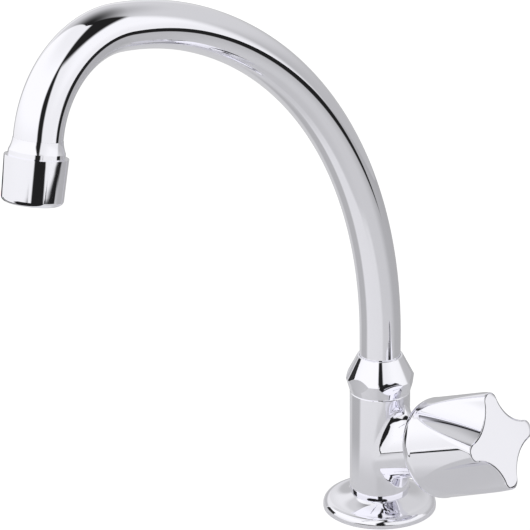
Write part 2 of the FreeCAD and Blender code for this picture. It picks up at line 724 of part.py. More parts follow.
def make_shank_ring():
    """Sealing ring between the shank's end and the body."""
    return ring_piece("shank_ring", "inlet_r", "shank_r", "shank_top", "shank_cup_top")


# Gland and spout foot

def make_gland_nut():
    """Double-coned nut with six flats at its rim; it holds the spout's foot in the body."""
    body = new_body("gland_nut")
    corners = [
        ("nut_thread_r", "nut_seat"),
        ("body_r - seam_edge", "nut_seat"),
        ("body_r", "nut_seat + seam_edge"),
        ("nut_rim_r", "nut_rim_z"),
        ("nut_top_r", "nut_top"),
        ("nut_bore_r", "nut_top"),
        ("nut_bore_r", "slip_top"),
        ("nut_cup_r", "slip_top"),
        ("nut_cup_r", "collar_low"),
        ("nut_thread_r", "collar_low"),
    ]
    turn_profile(body, "gland_nut", corners)
    body.Placement.Rotation = FreeCAD.Rotation(FreeCAD.Vector(0, 0, 1), amount("nut_turn"))
    body.setExpression("Placement.Rotation.Angle", "Sizes.nut_turn")
    cut_hexagon(body, "nut_flat_r", "nut_rim_r + spare")
    round_edges(body, "gland_nut_top_round", [("nut_top_r", "nut_top")], "nut_top_round")
    return body


def make_slip_ring():
    """Plastic ring between the collar of the spout's foot and the nut."""
    return ring_piece("slip_ring", "nut_bore_r", "slip_r", "slip_low", "slip_top")


def make_spout_foot():
    """Turned foot that the tube is brazed in; it turns in the body and has two grooves."""
    corners = [
        ("stem_bore_r", "stem_low"),
        ("stem_r", "stem_low"),
        ("stem_r", "oring_low_z - groove_half"),
        ("groove_floor_r", "oring_low_z - groove_half"),
        ("groove_floor_r", "oring_low_z + groove_half"),
        ("stem_r", "oring_low_z + groove_half"),
        ("stem_r", "oring_high_z - groove_half"),
        ("groove_floor_r", "oring_high_z - groove_half"),
        ("groove_floor_r", "oring_high_z + groove_half"),
        ("stem_r", "oring_high_z + groove_half"),
        ("stem_r", "collar_low"),
        ("collar_r", "collar_low"),
        ("collar_r", "collar_top"),
        ("tube_cup_r", "collar_top"),
        ("tube_cup_r", "tube_foot"),
        ("stem_bore_r", "tube_foot"),
    ]
    return turned_piece("spout_foot", corners)


def make_spout_tube():
    """Swan-neck tube: two rising bends and a tight one down to the outlet."""
    body = new_body("spout_tube")
    path = new_sketch(body, "spout_path", "YZ_Plane")
    outline(path, [
        ("0", "tube_foot"),
        ("0", "bend_start"),
        ("0 - reach_one", "rise_one", "sweep_radius", True),
        ("0 - reach_two", "rise_two", "crown_radius", True),
        ("0 - reach_three", "rise_three", "drop_radius", True),
        ("0 - reach_end", "rise_end"),
    ], closed=False)
    section = new_sketch(body, "spout_section", "XY_Plane", "tube_foot")
    circles(section, [("0", "0", "tube_r"), ("0", "0", "tube_r - tube_wall")])
    pipe = body.newObject("PartDesign::AdditivePipe", "spout_pipe")
    pipe.Profile = section
    pipe.Spine = (path, [f"Edge{index}" for index in range(1, 6)])
    return body


# Outlet

def make_outlet_adapter():
    """Turned ring brazed on the tube's end: a hollow flare, then a thread for the aerator."""
    corners = [
        ("tube_cup_r", "flare_top"),
        ("flare_top_r", "flare_top"),
        ("flare_r", "0", "flare_hollow", False),
        ("flare_r", "housing_gap"),
        ("adapter_thread_r", "housing_gap"),
        ("adapter_thread_r", "adapter_end"),
        ("tube_r - tube_wall", "adapter_end"),
        ("tube_r - tube_wall", "0"),
        ("tube_cup_r", "0"),
    ]
    return turned_piece("outlet_adapter", corners, "outlet")


def make_aerator_gasket():
    """Rubber ring between the adapter's end and the aerator insert."""
    return ring_piece("aerator_gasket", "aergasket_hole_r", "housing_bore_r", "adapter_end",
                      "aergasket_end", "outlet")


def make_aerator_housing():
    """Chromed housing screwed on the adapter, tapered, with a rounded lower edge and a lip."""
    body = new_body("aerator_housing", "outlet")
    corners = [
        ("housing_thread_r", "housing_gap"),
        ("housing_r", "housing_gap"),
        ("housing_end_r", "housing_end"),
        ("lip_r", "housing_end"),
        ("lip_r", "lip_top"),
        ("housing_bore_r", "lip_top"),
        ("housing_bore_r", "adapter_end"),
        ("housing_thread_r", "adapter_end"),
    ]
    turn_profile(body, "aerator_housing", corners)
    round_edges(body, "aerator_housing_round", [("housing_end_r", "housing_end")], "housing_round")
    return body


def make_aerator_insert():
    """Plastic cup with a perforated floor that the water leaves by."""
    body = new_body("aerator_insert", "outlet")
    corners = [
        ("0", "insert_web_top"),
        ("insert_bore_r", "insert_web_top"),
        ("insert_bore_r", "insert_top"),
        ("insert_r", "insert_top"),
        ("insert_r", "lip_top"),
        ("0", "lip_top"),
    ]
    turn_profile(body, "aerator_insert", corners)
    for number, row in enumerate(("hole_row_1", "hole_row_2", "hole_row_3"), start=1):
        sketch = new_sketch(body, row + "_shape", "XY_Plane")
        circles(sketch, [(row, "0", "insert_hole_r")])
        pocket = cut_through(body, row + "_first", sketch)
        repeat_round(body, row + "_holes", pocket, HOLES_IN_FIRST_ROW * number)
    return body


def make_screen(label, low, high):
    """Perforated disc of the aerator, a grid of square holes inside a round edge."""
    body = new_body(label, "outlet")
    turn_profile(body, label, [("0", low), ("screen_r", low), ("screen_r", high), ("0", high)])
    sketch = new_sketch(body, label + "_grid", "XY_Plane")
    pitch = amount("screen_pitch")
    half = amount("screen_hole") / 2
    steps = int(amount("screen_r") / pitch)
    for column in range(-steps, steps + 1):
        for line in range(-steps, steps + 1):
            corner_reach = math.hypot(abs(column) * pitch + half, abs(line) * pitch + half)
            if corner_reach < amount("screen_r") - half:
                square(sketch, column * pitch, line * pitch, half)
    cut_through(body, label + "_holes", sketch)
    return body


def square(sketch, across, up, half):
    """Four lines round a square hole."""
    points = [FreeCAD.Vector(across + x * half, up + y * half, 0)
              for x, y in ((-1, -1), (1, -1), (1, 1), (-1, 1))]
    for index in range(4):
        sketch.addGeometry(Part.LineSegment(points[index], points[(index + 1) % 4]))


# Headwork in the branch

def make_seat_seal():
    """Rubber ring between the seat and the fixed disc."""
    return ring_piece("seat_seal", "port_r", "cage_r", "seat_reach", "headwork_low", "branch")


def make_headwork_body():
    """Brass headwork: a skirt with two windows round the discs, thread, hexagon and neck."""
    body = new_body("headwork_body", "branch")
    corners = [
        ("cage_r", "headwork_low"),
        ("headwork_r", "headwork_low"),
        ("headwork_r", "head_low"),
        ("head_corner_r", "head_low"),
        ("head_corner_r", "head_top"),
        ("gland_r", "head_top"),
        ("gland_r", "gland_top"),
        ("spindle_hole_r", "gland_top"),
        ("spindle_hole_r", "cage_top"),
        ("cage_r", "cage_top"),
    ]
    turn_profile(body, "headwork_body", corners)
    cut_head_flats(body)
    return body


def cut_head_flats(body):
    """Six flats on the hexagon only, then two windows in the skirt."""
    sketch = new_sketch(body, "head_flat_shape", "XY_Plane", "head_low")
    across_block(sketch, "head_corner_r + spare", "head_ring_r", "head_flats", "0 - head_flats")
    pocket = blind_pocket(body, "head_flat", sketch, "head_thick")
    repeat_round(body, "head_flat_ring", pocket, HEXAGON_SIDES)
    window = new_sketch(body, "window_shape", "XZ_Plane")
    across_block(window, "port_r", "0 - port_r", "drive_top", "disc_moving_top")
    cut_through(body, "windows", window)


def make_headwork_ring():
    """Sealing ring under the headwork's hexagon."""
    return ring_piece("headwork_ring", "head_ring_hole_r", "head_ring_r", "branch_reach", "head_low",
                      "branch")


def make_disc(label, low, high, slotted):
    """Ceramic disc with two round ports either side of its axis."""
    body = new_body(label, "branch")
    turn_profile(body, label, [("0", low), ("disc_r", low), ("disc_r", high), ("0", high)])
    ports = new_sketch(body, label + "_port_shape", "XY_Plane")
    if slotted:
        circles(ports, [("0", "disc_port_reach", "disc_port_r")])
    else:
        circles(ports, [("disc_port_reach", "0", "disc_port_r")])
    pocket = cut_through(body, label + "_port", ports)
    repeat_round(body, label + "_ports", pocket, 2)
    if slotted:
        slot = new_sketch(body, label + "_slot_shape", "XY_Plane", "slot_floor")
        across_block(slot, "disc_r + spare", "0 - disc_r - spare", "slot_half", "0 - slot_half")
        blind_pocket(body, label + "_slot", slot, "drive_deep")
    return body


def across_block(sketch, right, left, top, low):
    """Draw a rectangle from its four sides."""
    return outline(sketch, [(left, low), (right, low), (right, top), (left, top)])


def blind_pocket(body, name, sketch, depth):
    """Pocket a sketch upwards by a depth."""
    pocket = body.newObject("PartDesign::Pocket", name)
    pocket.Profile = sketch
    pocket.Type = "Length"
    pocket.Length = amount(depth)
    pocket.setExpression("Length", full(depth))
    pocket.Reversed = True
    return pocket


def make_spindle():
    """Spindle: driving head over the moving disc, grooved shaft and splined, tapped end."""
    body = new_body("spindle", "branch")
    corners = [
        ("0", "drive_low"),
        ("drive_r", "drive_low"),
        ("drive_r", "drive_top"),
        ("spindle_r", "drive_top"),
        ("spindle_r", "packing_z - packing_half"),
        ("packing_floor_r", "packing_z - packing_half"),
        ("packing_floor_r", "packing_z + packing_half"),
        ("spindle_r", "packing_z + packing_half"),
        ("spindle_r", "clip_low"),
        ("clip_inner_r", "clip_low"),
        ("clip_inner_r", "clip_top"),
        ("spindle_r", "clip_top"),
        ("spindle_r", "spline_top"),
        ("tap_hole_r", "spline_top"),
        ("tap_hole_r", "tap_hole_low"),
        ("0", "tap_hole_low"),
    ]
    turn_profile(body, "spindle", corners)
    sketch = new_sketch(body, "spline_shape", "XY_Plane", "spline_low")
    circles(sketch, [("spline_cutter_shift", "0", "spline_cutter_r")])
    pocket = blind_pocket(body, "spline", sketch, "spline_len")
    repeat_round(body, "splines", pocket, SPLINE_COUNT)
    lug = new_sketch(body, "lug_shape", "XY_Plane", "lug_low")
    across_block(lug, "drive_r - lug_short", "0 - drive_r + lug_short", "lug_half", "0 - lug_half")
    pad = body.newObject("PartDesign::Pad", "lug")
    pad.Profile = lug
    pad.Length = amount("drive_low - lug_low + lug_root")
    pad.setExpression("Length", full("drive_low - lug_low + lug_root"))
    return body


def make_spindle_clip():
    """Open clip in the spindle's groove, above the headwork's neck."""
    body = ring_piece("spindle_clip", "clip_inner_r", "clip_outer_r", "clip_low", "clip_top", "branch")
    sketch = new_sketch(body, "clip_gap_shape", "XY_Plane")
    across_block(sketch, "clip_outer_r + spare", "0", "clip_width", "0 - clip_width")
    cut_through(body, "clip_gap", sketch)
    return body


# Knob

def knob_radius(angle, along, inset=0.0):
    """Distance of the knob's surface from its axis, at an angle and at a place along the axis.

    Four flutes of round section come in between the lobes; each is deepest at the face and runs
    out at the skirt. An arc that touches both joins each flute to the skirt's circle. inset gives
    the line that runs inside the surface at that distance.
    """
    skirt = amount("knob_skirt")
    share = max(0.0, (along - skirt) / (amount("knob_reach") - skirt))
    skirt_r = amount("knob_skirt_od") / 2
    tip_r = amount("knob_tip_od") / 2
    waist_r = amount("knob_waist_od") / 2
    rim = skirt_r + (tip_r - skirt_r) * share
    flute, joint = amount("knob_flute"), amount("knob_tip_round")
    flute_reach = rim + (waist_r - tip_r) * share + flute
    joint_reach = rim - joint
    step = 2 * math.pi / LOBES
    away = abs((angle + step / 2) % step - step / 2)
    cosine = (joint_reach ** 2 + flute_reach ** 2 - (flute + joint) ** 2) / (2 * joint_reach * flute_reach)
    joint_end = math.acos(min(1.0, cosine))
    if away >= joint_end:
        return rim - inset
    touch_x = joint_reach * math.cos(joint_end)
    touch_y = joint_reach * math.sin(joint_end)
    pull = (joint - inset) / (flute + joint)
    touch = math.atan2(touch_y * (1 - pull), touch_x + (flute_reach - touch_x) * pull)
    if away >= touch:
        return ray_to_circle(joint_end - away, joint_reach, joint - inset)
    return ray_to_circle(away, flute_reach, -flute - inset)


def ray_to_circle(away, reach, radius):
    """Distance along a ray to a circle; a negative radius gives the near side of it."""
    sideways = reach * math.sin(away)
    return reach * math.cos(away) + math.copysign(math.sqrt(radius ** 2 - sideways ** 2), radius)


def knob_section(along, inset=0.0):
    """Closed smooth curve round the knob at a place along the branch's axis, one edge to a lobe."""
    edges = []
    for lobe in range(LOBES):
        first = 2 * math.pi * lobe / LOBES
        phase = first + math.radians(amount("knob_phase")) + math.pi / LOBES
        points = []
        for index in range(LOBE_POINTS + 1):
            away = 2 * math.pi / LOBES * index / LOBE_POINTS
            radius = knob_radius(away, along, inset)
            turn = phase + away
            points.append(FreeCAD.Vector(radius * math.cos(turn), radius * math.sin(turn), along))
        across = phase + 2 * math.pi / LOBES
        curve = Part.BSplineCurve()
        curve.interpolate(
            Points=points,
            InitialTangent=FreeCAD.Vector(-math.sin(phase), math.cos(phase), 0),
            FinalTangent=FreeCAD.Vector(-math.sin(across), math.cos(across), 0),
        )
        edges.append(curve.toShape())
    return Part.Wire(edges)


def knob_loft(name, stations, inset=0.0):
    """Solid through the knob's sections at places along the branch's axis."""
    item = doc.addObject("Part::Feature", name)
    item.Shape = Part.makeLoft([knob_section(along, inset) for along in stations], True, False)
    lay_on_branch(item)
    return item


def knob_stations(low, high):
    """Places of the knob's sections along the branch's axis, closer together near low."""
    steps = KNOB_SECTIONS - 1
    return [low + (high - low) * (index / steps) ** STATION_POWER for index in range(KNOB_SECTIONS)]


def make_knob_shell():
    """Four-lobed hollow knob with a cup over the branch's end, a web and a hub on the spindle."""
    back, reach = amount("knob_back"), amount("knob_shell_reach")
    outer = knob_loft("knob_outer", [back] + knob_stations(amount("knob_skirt"), reach))
    web_top = amount("knob_web_top")
    hollow_stations = knob_stations(web_top, amount("knob_shell_reach + spare"))
    inner = knob_loft("knob_inner", hollow_stations, amount("knob_wall"))
    doc.recompute()
    shoulder = doc.addObject("Part::Fillet", "knob_shoulder_round")
    shoulder.Base = outer
    radius = amount("knob_shoulder")
    shoulder.Edges = [(nearest_edge(outer.Shape, back), radius, radius)]
    hub = primitive_cylinder("knob_hub", "hub_r", "knob_cup_top", "hub_top", branch=True)
    cavities = joined("knob_cavities", [
        cut("knob_hollow", inner, hub),
        primitive_cylinder("knob_cup", "knob_cup_r", "knob_back", "knob_cup_top", branch=True),
        primitive_cylinder("knob_hub_bore", "hub_bore_r", "knob_cup_top", "spline_top", branch=True),
        primitive_cylinder("knob_screw_hole", "screw_r + run_gap", "spline_top", "hub_top", branch=True),
    ])
    return cut("knob_shell", shoulder, cavities)


def nearest_edge(shape, along):
    """Index of the edge whose middle lies nearest to a place along the branch's axis."""
    tilt = math.radians(amount("branch_tilt"))
    foot = FreeCAD.Vector(0, 0, amount("branch_height"))
    way = FreeCAD.Vector(math.cos(tilt), 0, math.sin(tilt))
    misses = []
    for edge in shape.Edges:
        misses.append(abs((edge.BoundBox.Center - foot).dot(way) - along))
    return misses.index(min(misses)) + 1


def star_plate(name, inset, low, high):
    """Straight plate with the outline of the knob's face, set in by inset, from low to high."""
    reach = amount("knob_reach")
    wire = knob_section(reach, amount(inset))
    wire.translate(FreeCAD.Vector(0, 0, amount(low) - reach))
    item = doc.addObject("Part::Feature", name)
    item.Shape = Part.Face(wire).extrude(FreeCAD.Vector(0, 0, amount(high) - amount(low)))
    lay_on_branch(item)
    return item


def make_knob_face():
    """Plain star-shaped plate that closes the knob, with a plug that fits in its hollow."""
    plate = star_plate("knob_star", "face_inset", "knob_shell_reach", "knob_reach")
    plug = star_plate("knob_plug", "knob_wall + loose_gap", "face_plug_low", "knob_shell_reach")
    face = joined("knob_face", [plate, plug])
    face.Label = "knob_face"
    return face


def make_knob_screw():
    """Slotted screw that holds the knob on the spindle."""
    body = new_body("knob_screw", "branch")
    corners = [
        ("0", "screw_end"),
        ("screw_r", "screw_end"),
        ("screw_r", "hub_top"),
        ("screw_head_r", "hub_top"),
        ("screw_head_r", "screw_top"),
        ("0", "screw_top"),
    ]
    turn_profile(body, "knob_screw", corners)
    slot = new_sketch(body, "screw_slot_shape", "XY_Plane", "screw_slot_floor")
    reach = "screw_head_r + spare"
    across_block(slot, reach, "0 - screw_head_r - spare", "screw_slot_half", "0 - screw_slot_half")
    blind_pocket(body, "screw_slot_cut", slot, "screw_slot")
    return body


PIECES = [
    make_base_flange(),
    make_flange_gasket(),
    make_inlet_shank(),
    make_shank_ring(),
    ring_piece("deck_washer_rubber", "gasket_hole_r", "washer_r", "rubber_low", "rubber_top"),
    ring_piece("deck_washer_steel", "gasket_hole_r", "washer_r", "steel_low", "rubber_low"),
    make_back_nut(),
    make_valve_body(),
    make_gland_nut(),
    make_slip_ring(),
    make_spout_foot(),
    oring("spout_oring_lower", "oring_mid_r", "oring_wire_r", "oring_low_z"),
    oring("spout_oring_upper", "oring_mid_r", "oring_wire_r", "oring_high_z"),
    make_spout_tube(),
    make_outlet_adapter(),
    make_aerator_gasket(),
    make_aerator_housing(),
    make_aerator_insert(),
    make_screen("aerator_screen_upper", "insert_top", "insert_top + screen_thick"),
    make_screen("aerator_screen_lower", "screen_low", "screen_low + screen_thick"),
    make_seat_seal(),
    make_disc("disc_fixed", "disc_low", "disc_joint", slotted=False),
    make_disc("disc_moving", "disc_moving_low", "disc_moving_top", slotted=True),
    make_headwork_body(),
    make_headwork_ring(),
    make_spindle(),
    oring("spindle_oring", "packing_mid_r", "packing_wire_r", "packing_z", "branch"),
    make_spindle_clip(),
    make_knob_shell(),
    make_knob_face(),
    make_knob_screw(),
]


def check(pieces):
    """Stop if any object failed or any piece isn't one valid solid."""
    doc.recompute()
    for item in doc.Objects:
        if "Invalid" in item.State or "Error" in item.State:
            raise RuntimeError(f"{item.Name} failed: {item.State}")
    for piece in pieces:
        shape = piece.Shape
        if shape.isNull() or not shape.isValid() or len(shape.Solids) != 1:
            raise RuntimeError(f"{piece.Label} isn't one valid solid")


check(PIECES)
os.makedirs("parts", exist_ok=True)
for piece in PIECES:
    piece.Shape.exportStep(f"parts/{piece.Label}.step")
    print(f"{piece.Label}: {piece.Shape.Volume:.1f} mm3")
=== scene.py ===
"""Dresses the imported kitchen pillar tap: finishes, detailed pieces, studio and camera."""

import json
import math

import bmesh
import bpy
from mathutils import Matrix, Vector


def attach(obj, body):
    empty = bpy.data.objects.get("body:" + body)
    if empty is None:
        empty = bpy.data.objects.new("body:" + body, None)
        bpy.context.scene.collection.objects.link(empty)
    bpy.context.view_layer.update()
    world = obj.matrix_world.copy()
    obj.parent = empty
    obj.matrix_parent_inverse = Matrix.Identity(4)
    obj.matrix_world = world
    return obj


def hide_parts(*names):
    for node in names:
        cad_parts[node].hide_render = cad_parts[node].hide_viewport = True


bl_info = {
    "name": "Kitchen Pillar Tap",
    "version": (1, 0, 0),
    "blender": (4, 5, 0),
    "location": "3D View > Sidebar > Tap",
    "description": "Builds a kitchen pillar tap with a swan-neck spout round its packed CAD frame",
    "category": "Object",
}

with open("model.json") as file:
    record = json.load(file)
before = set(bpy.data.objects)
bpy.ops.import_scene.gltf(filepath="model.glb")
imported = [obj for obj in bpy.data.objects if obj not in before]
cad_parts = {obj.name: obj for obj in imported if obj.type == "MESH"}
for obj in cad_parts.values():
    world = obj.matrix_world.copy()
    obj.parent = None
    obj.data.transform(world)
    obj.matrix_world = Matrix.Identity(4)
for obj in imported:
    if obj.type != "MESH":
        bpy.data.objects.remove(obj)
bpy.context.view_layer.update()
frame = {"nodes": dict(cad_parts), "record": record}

MILLIMETRE = 0.001

# Seen from above, the camera stands at this azimuth, counted from +X towards +Y
CAMERA_AZIMUTH = math.radians(-51.0)


def degrees(*values):
    """Several angles in degrees as radians."""
    return [math.radians(value) for value in values]


def millimetres(*values):
    """Several lengths in millimetres as metres."""
    return [value * MILLIMETRE for value in values]


# Settings

def length_setting(name, description, default, least=0.0):
    """A length in metres that a user can change."""
    return bpy.props.FloatProperty(
        name=name, description=description, subtype="DISTANCE", unit="LENGTH", min=least, default=default)


def angle_setting(name, description, default):
    """An angle that a user can change; its default is in degrees."""
    return bpy.props.FloatProperty(
        name=name, description=description, subtype="ANGLE", unit="ROTATION", default=math.radians(default))


def colour_setting(name, description, default):
    """A colour that a user can change, in linear red, green and blue."""
    return bpy.props.FloatVectorProperty(
        name=name, description=description, subtype="COLOR", size=3, min=0.0, max=1.0, default=default)


def level_setting(name, description, default):
    """A brightness that a user can change, where 1 is white."""
    return bpy.props.FloatProperty(name=name, description=description, min=0.0, default=default)


class TapFinishes(bpy.types.PropertyGroup):
    """Colours and gloss of the tap's finishes."""

    chrome_colour: colour_setting("Chrome", "Reflected colour of the chrome plating", (0.936, 0.932, 0.984))
    chrome_roughness: bpy.props.FloatProperty(
        name="Chrome roughness", description="Roughness of the polished plating",
        subtype="FACTOR", min=0.0, max=1.0, default=0.03)
    brass_colour: colour_setting("Brass", "Colour of the machined brass", (0.78, 0.57, 0.25))
    steel_colour: colour_setting("Steel", "Colour of the stainless steel", (0.60, 0.60, 0.61))
    rubber_colour: colour_setting("Rubber", "Colour of the black rubber", (0.028, 0.028, 0.03))
    fibre_colour: colour_setting("Fibre", "Colour of the vulcanised fibre rings", (0.36, 0.085, 0.045))
    plastic_colour: colour_setting("Plastic", "Colour of the white moulded plastic", (0.78, 0.78, 0.75))
    ceramic_colour: colour_setting("Ceramic", "Colour of the polished ceramic discs", (0.82, 0.80, 0.75))


class TapSpout(bpy.types.PropertyGroup):
    """The swan-neck tube: its section and the runs and bends of its path."""

    tube_radius: length_setting("Tube radius", "Outside radius of the tube", 0.0095, 0.001)
    tube_wall: length_setting("Tube wall", "Thickness of the tube's wall", 0.001, 0.0001)
    foot: length_setting("Foot", "Height of the tube's lower end above the deck", 0.0561)
    bend_start: length_setting("Bend start", "Height where the first bend begins", 0.0866)
    sweep_radius: length_setting("Sweep radius", "Radius of the long rising bend", 0.176, 0.02)
    sweep_turn: angle_setting("Sweep turn", "Angle of the long rising bend", 71.0)
    crown_radius: length_setting("Crown radius", "Radius of the bend at the crown", 0.152, 0.02)
    crown_turn: angle_setting("Crown turn", "Angle of the bend at the crown", 16.0)
    drop_radius: length_setting("Drop radius", "Radius of the tight bend down to the outlet", 0.0414, 0.02)
    drop_turn: angle_setting("Drop turn", "Angle of the tight bend down to the outlet", 81.8)
    outlet_run: length_setting("Outlet run", "Straight length at the outlet", 0.0059)


class TapShank(bpy.types.PropertyGroup):
    """The threaded tail below the deck."""

    thread_radius: length_setting("Thread radius", "Radius over the thread", 0.010475, 0.002)
    thread_depth: length_setting("Thread depth", "Depth of the thread", 0.001162, 0.0001)
    thread_pitch: length_setting("Thread pitch", "Distance between two turns of the thread", 0.001814, 0.0005)


class TapScreens(bpy.types.PropertyGroup):
    """The two woven wire screens in the aerator."""

    screen_radius: length_setting("Screen radius", "Radius of a screen over its rim", 0.00854, 0.002)
    mesh_pitch: length_setting("Mesh pitch", "Distance between two wires of the weave", 0.0009, 0.0003)
    wire_radius: length_setting("Wire radius", "Radius of the wires", 0.00012, 0.00005)


class TapKnob(bpy.types.PropertyGroup):
    """Sizes of the four-lobed knob, measured along and round the branch's axis."""

    back: length_setting("Back", "Place of the knob's back along the branch", 0.0326)
    shoulder: length_setting("Shoulder", "Rounding of the knob's back edge", 0.0065)
    skirt_radius: length_setting("Skirt radius", "Radius of the round skirt", 0.0232)
    flute_start: length_setting("Flute start", "Place along the branch where the flutes begin", 0.041)
    reach: length_setting("Reach", "Place of the knob's face along the branch", 0.0749)
    tip_radius: length_setting("Tip radius", "Radius over the lobes at the face", 0.02245)
    waist_radius: length_setting("Waist radius", "Radius of the hollows at the face", 0.0133)
    flute_radius: length_setting("Flute radius", "Radius of the hollows across, at the face", 0.0187)
    tip_round: length_setting("Tip rounding", "Rounding between a lobe's end and its flanks", 0.00435)
    edge_round: length_setting("Edge rounding", "Rounding of the flutes' edges where they begin", 0.0015)
    wind: angle_setting("Wind", "Angle that the flutes wind between their start and the face", -14.0)
    lobe_turn: angle_setting("Lobe turn", "Angle of the lobes to the branch's upright plane", -1.6)


class TapStudio(bpy.types.PropertyGroup):
    """Light tent, table, flag and camera."""

    tent_radius: length_setting("Tent radius", "Radius of the light tent round the tap", 0.95, 0.5)
    panel_level: level_setting("Panel level", "Brightness of the two light panels", 1.0)
    dark_level: level_setting("Dark level", "Brightness of the gaps between the panels", 0.016)
    wall_level: level_setting("Wall level", "Brightness of the wall behind the tap, low down", 0.51)
    table_level: level_setting("Table level", "Brightness of the table round the tap", 0.66)
    flag_height: length_setting("Flag height", "Height of the dark flag beside the tap", 0.15, 0.01)
    camera_distance: length_setting("Camera distance", "Level distance from body to camera", 0.9287757)
    camera_height: length_setting("Camera height", "Height of the camera above the deck", 0.4520475)
    camera_yaw: angle_setting("Camera yaw", "Turn of the view away from the body's axis", -3.247328)
    camera_pitch: angle_setting("Camera pitch", "Downward tilt of the view", 19.62334)
    camera_roll: angle_setting("Camera roll", "Roll of the camera about its view", -0.8768424)
    focal_ratio: bpy.props.FloatProperty(
        name="Focal ratio", description="Focal length over the width of the picture",
        min=0.1, default=4.074493)


# Small helpers for node trees

def feed(tree, socket, source):
    """Put a number or a colour on a socket, or link it to another socket."""
    if isinstance(source, bpy.types.NodeSocket):
        tree.links.new(source, socket)
    else:
        socket.default_value = source


def add_node(tree, kind, inputs=None, **settings):
    """Add a node with its settings and its inputs, given by name or number."""
    node = tree.nodes.new(kind)
    for name, value in settings.items():
        setattr(node, name, value)
    for key, source in (inputs or {}).items():
        feed(tree, node.inputs[key], source)
    return node


def result(tree, kind, inputs=None, **settings):
    """The first output of a new node."""
    return add_node(tree, kind, inputs, **settings).outputs[0]


def calculate(tree, operation, *values):
    """One Math node."""
    return result(tree, "ShaderNodeMath", dict(enumerate(values)), operation=operation)


def times(tree, first, *others):
    """The product of several values."""
    for other in others:
        first = calculate(tree, "MULTIPLY", first, other)
    return first


def minus(tree, first, second):
    """The difference of two values."""
    return calculate(tree, "SUBTRACT", first, second)


def rise(tree, value, start, end):
    """0 below the start and 1 above the end, with a soft step between."""
    inputs = {"Value": value, "From Min": start, "From Max": end}
    return result(tree, "ShaderNodeMapRange", inputs, interpolation_type="SMOOTHSTEP")


def fall(tree, value, start, end):
    """1 below the start and 0 above the end."""
    return minus(tree, 1.0, rise(tree, value, start, end))


def band(tree, value, start, full, last, end):
    """1 between two values and 0 outside, with a soft step on both sides."""
    return times(tree, rise(tree, value, start, full), fall(tree, value, last, end))


def between(tree, low, high, share):
    """A value that goes from low to high as the share goes from 0 to 1."""
    return result(tree, "ShaderNodeMapRange", {"Value": share, "To Min": low, "To Max": high})


def over(tree, below, level, *masks):
    """A level where all masks are 1, and what is below it elsewhere."""
    return between(tree, below, level, times(tree, *masks))


def new_material(name):
    """An empty node material and its output node."""
    material = bpy.data.materials.new(name)
    material.use_nodes = True
    tree = material.node_tree
    tree.nodes.clear()
    output = tree.nodes.new("ShaderNodeOutputMaterial")
    return material, tree, output


def object_position(tree):
    """The place on the piece, in metres."""
    return add_node(tree, "ShaderNodeTexCoord").outputs["Object"]


# Finishes

def noise(tree, place, scale, detail, roughness=0.5):
    """A noise texture's factor; the scale is about the number of its patches in a metre."""
    inputs = {"Vector": place, "Scale": scale, "Detail": detail, "Roughness": roughness}
    return result(tree, "ShaderNodeTexNoise", inputs)


def bump(tree, pattern, strength, relief):
    """The normal of a pattern whose relief is given in metres."""
    inputs = {"Height": pattern, "Strength": strength, "Distance": relief}
    return result(tree, "ShaderNodeBump", inputs)


def colour_between(tree, low, high, share):
    """A colour that goes from low to high with the share."""
    node = add_node(tree, "ShaderNodeMix", data_type="RGBA")
    feed(tree, node.inputs["Factor"], share)
    feed(tree, node.inputs["A"], (*low, 1.0))
    feed(tree, node.inputs["B"], (*high, 1.0))
    return node.outputs["Result"]


def shade(colour, amount):
    """A colour made lighter or darker."""
    return tuple(min(1.0, channel * amount) for channel in colour)


def principled(tree, output, **inputs):
    """The surface shader, with its inputs named in words joined by underscores."""
    node = add_node(tree, "ShaderNodeBsdfPrincipled")
    for name, source in inputs.items():
        feed(tree, node.inputs[name.replace("_", " ").title()], source)
    tree.links.new(node.outputs["BSDF"], output.inputs["Surface"])


def make_chrome(finishes):
    """Polished chrome plating with faint polishing waves and a little haze."""
    material, tree, output = new_material("polished_chrome")
    place = object_position(tree)
    haze = noise(tree, place, scale=60.0, detail=3.0)
    waves = noise(tree, place, scale=90.0, detail=1.0)
    low = finishes.chrome_roughness * 0.6
    high = finishes.chrome_roughness * 1.5
    principled(
        tree, output,
        base_color=(*finishes.chrome_colour, 1.0),
        metallic=1.0,
        roughness=between(tree, low, high, haze),
        normal=bump(tree, waves, strength=0.02, relief=0.0002),
    )
    return material


def new_finish(name, colour, shades, roughness, pattern, strength, relief, marks=None, metallic=0.0):
    """A finish whose colour and roughness vary with a pattern, in relief like it or like its own marks."""
    material, tree, output = new_material(name)
    place = object_position(tree)
    share = noise(tree, place, **pattern)
    raised = noise(tree, place, **marks) if marks else share
    dark, light = (shade(colour, amount) for amount in shades)
    principled(
        tree, output,
        base_color=colour_between(tree, dark, light, share),
        metallic=metallic,
        roughness=between(tree, *roughness, share),
        normal=bump(tree, raised, strength, relief),
    )
    return material


def make_brass(finishes):
    """Machined brass with fine turning marks and slightly uneven colour."""
    return new_finish(
        "machined_brass", finishes.brass_colour, shades=(0.82, 1.08), roughness=(0.20, 0.38),
        pattern={"scale": 140.0, "detail": 4.0}, marks={"scale": 2400.0, "detail": 2.0},
        strength=0.15, relief=0.0001, metallic=1.0)


def make_steel(finishes):
    """Satin stainless steel with a fine grain."""
    return new_finish(
        "satin_steel", finishes.steel_colour, shades=(0.9, 1.06), roughness=(0.24, 0.36),
        pattern={"scale": 1800.0, "detail": 3.0}, strength=0.12, relief=0.00006, metallic=1.0)


def make_rubber(finishes):
    """Black moulded rubber with a fine skin and a pale bloom."""
    return new_finish(
        "black_rubber", finishes.rubber_colour, shades=(1.0, 1.9), roughness=(0.55, 0.75),
        pattern={"scale": 160.0, "detail": 4.0}, marks={"scale": 2600.0, "detail": 2.0},
        strength=0.25, relief=0.0001)


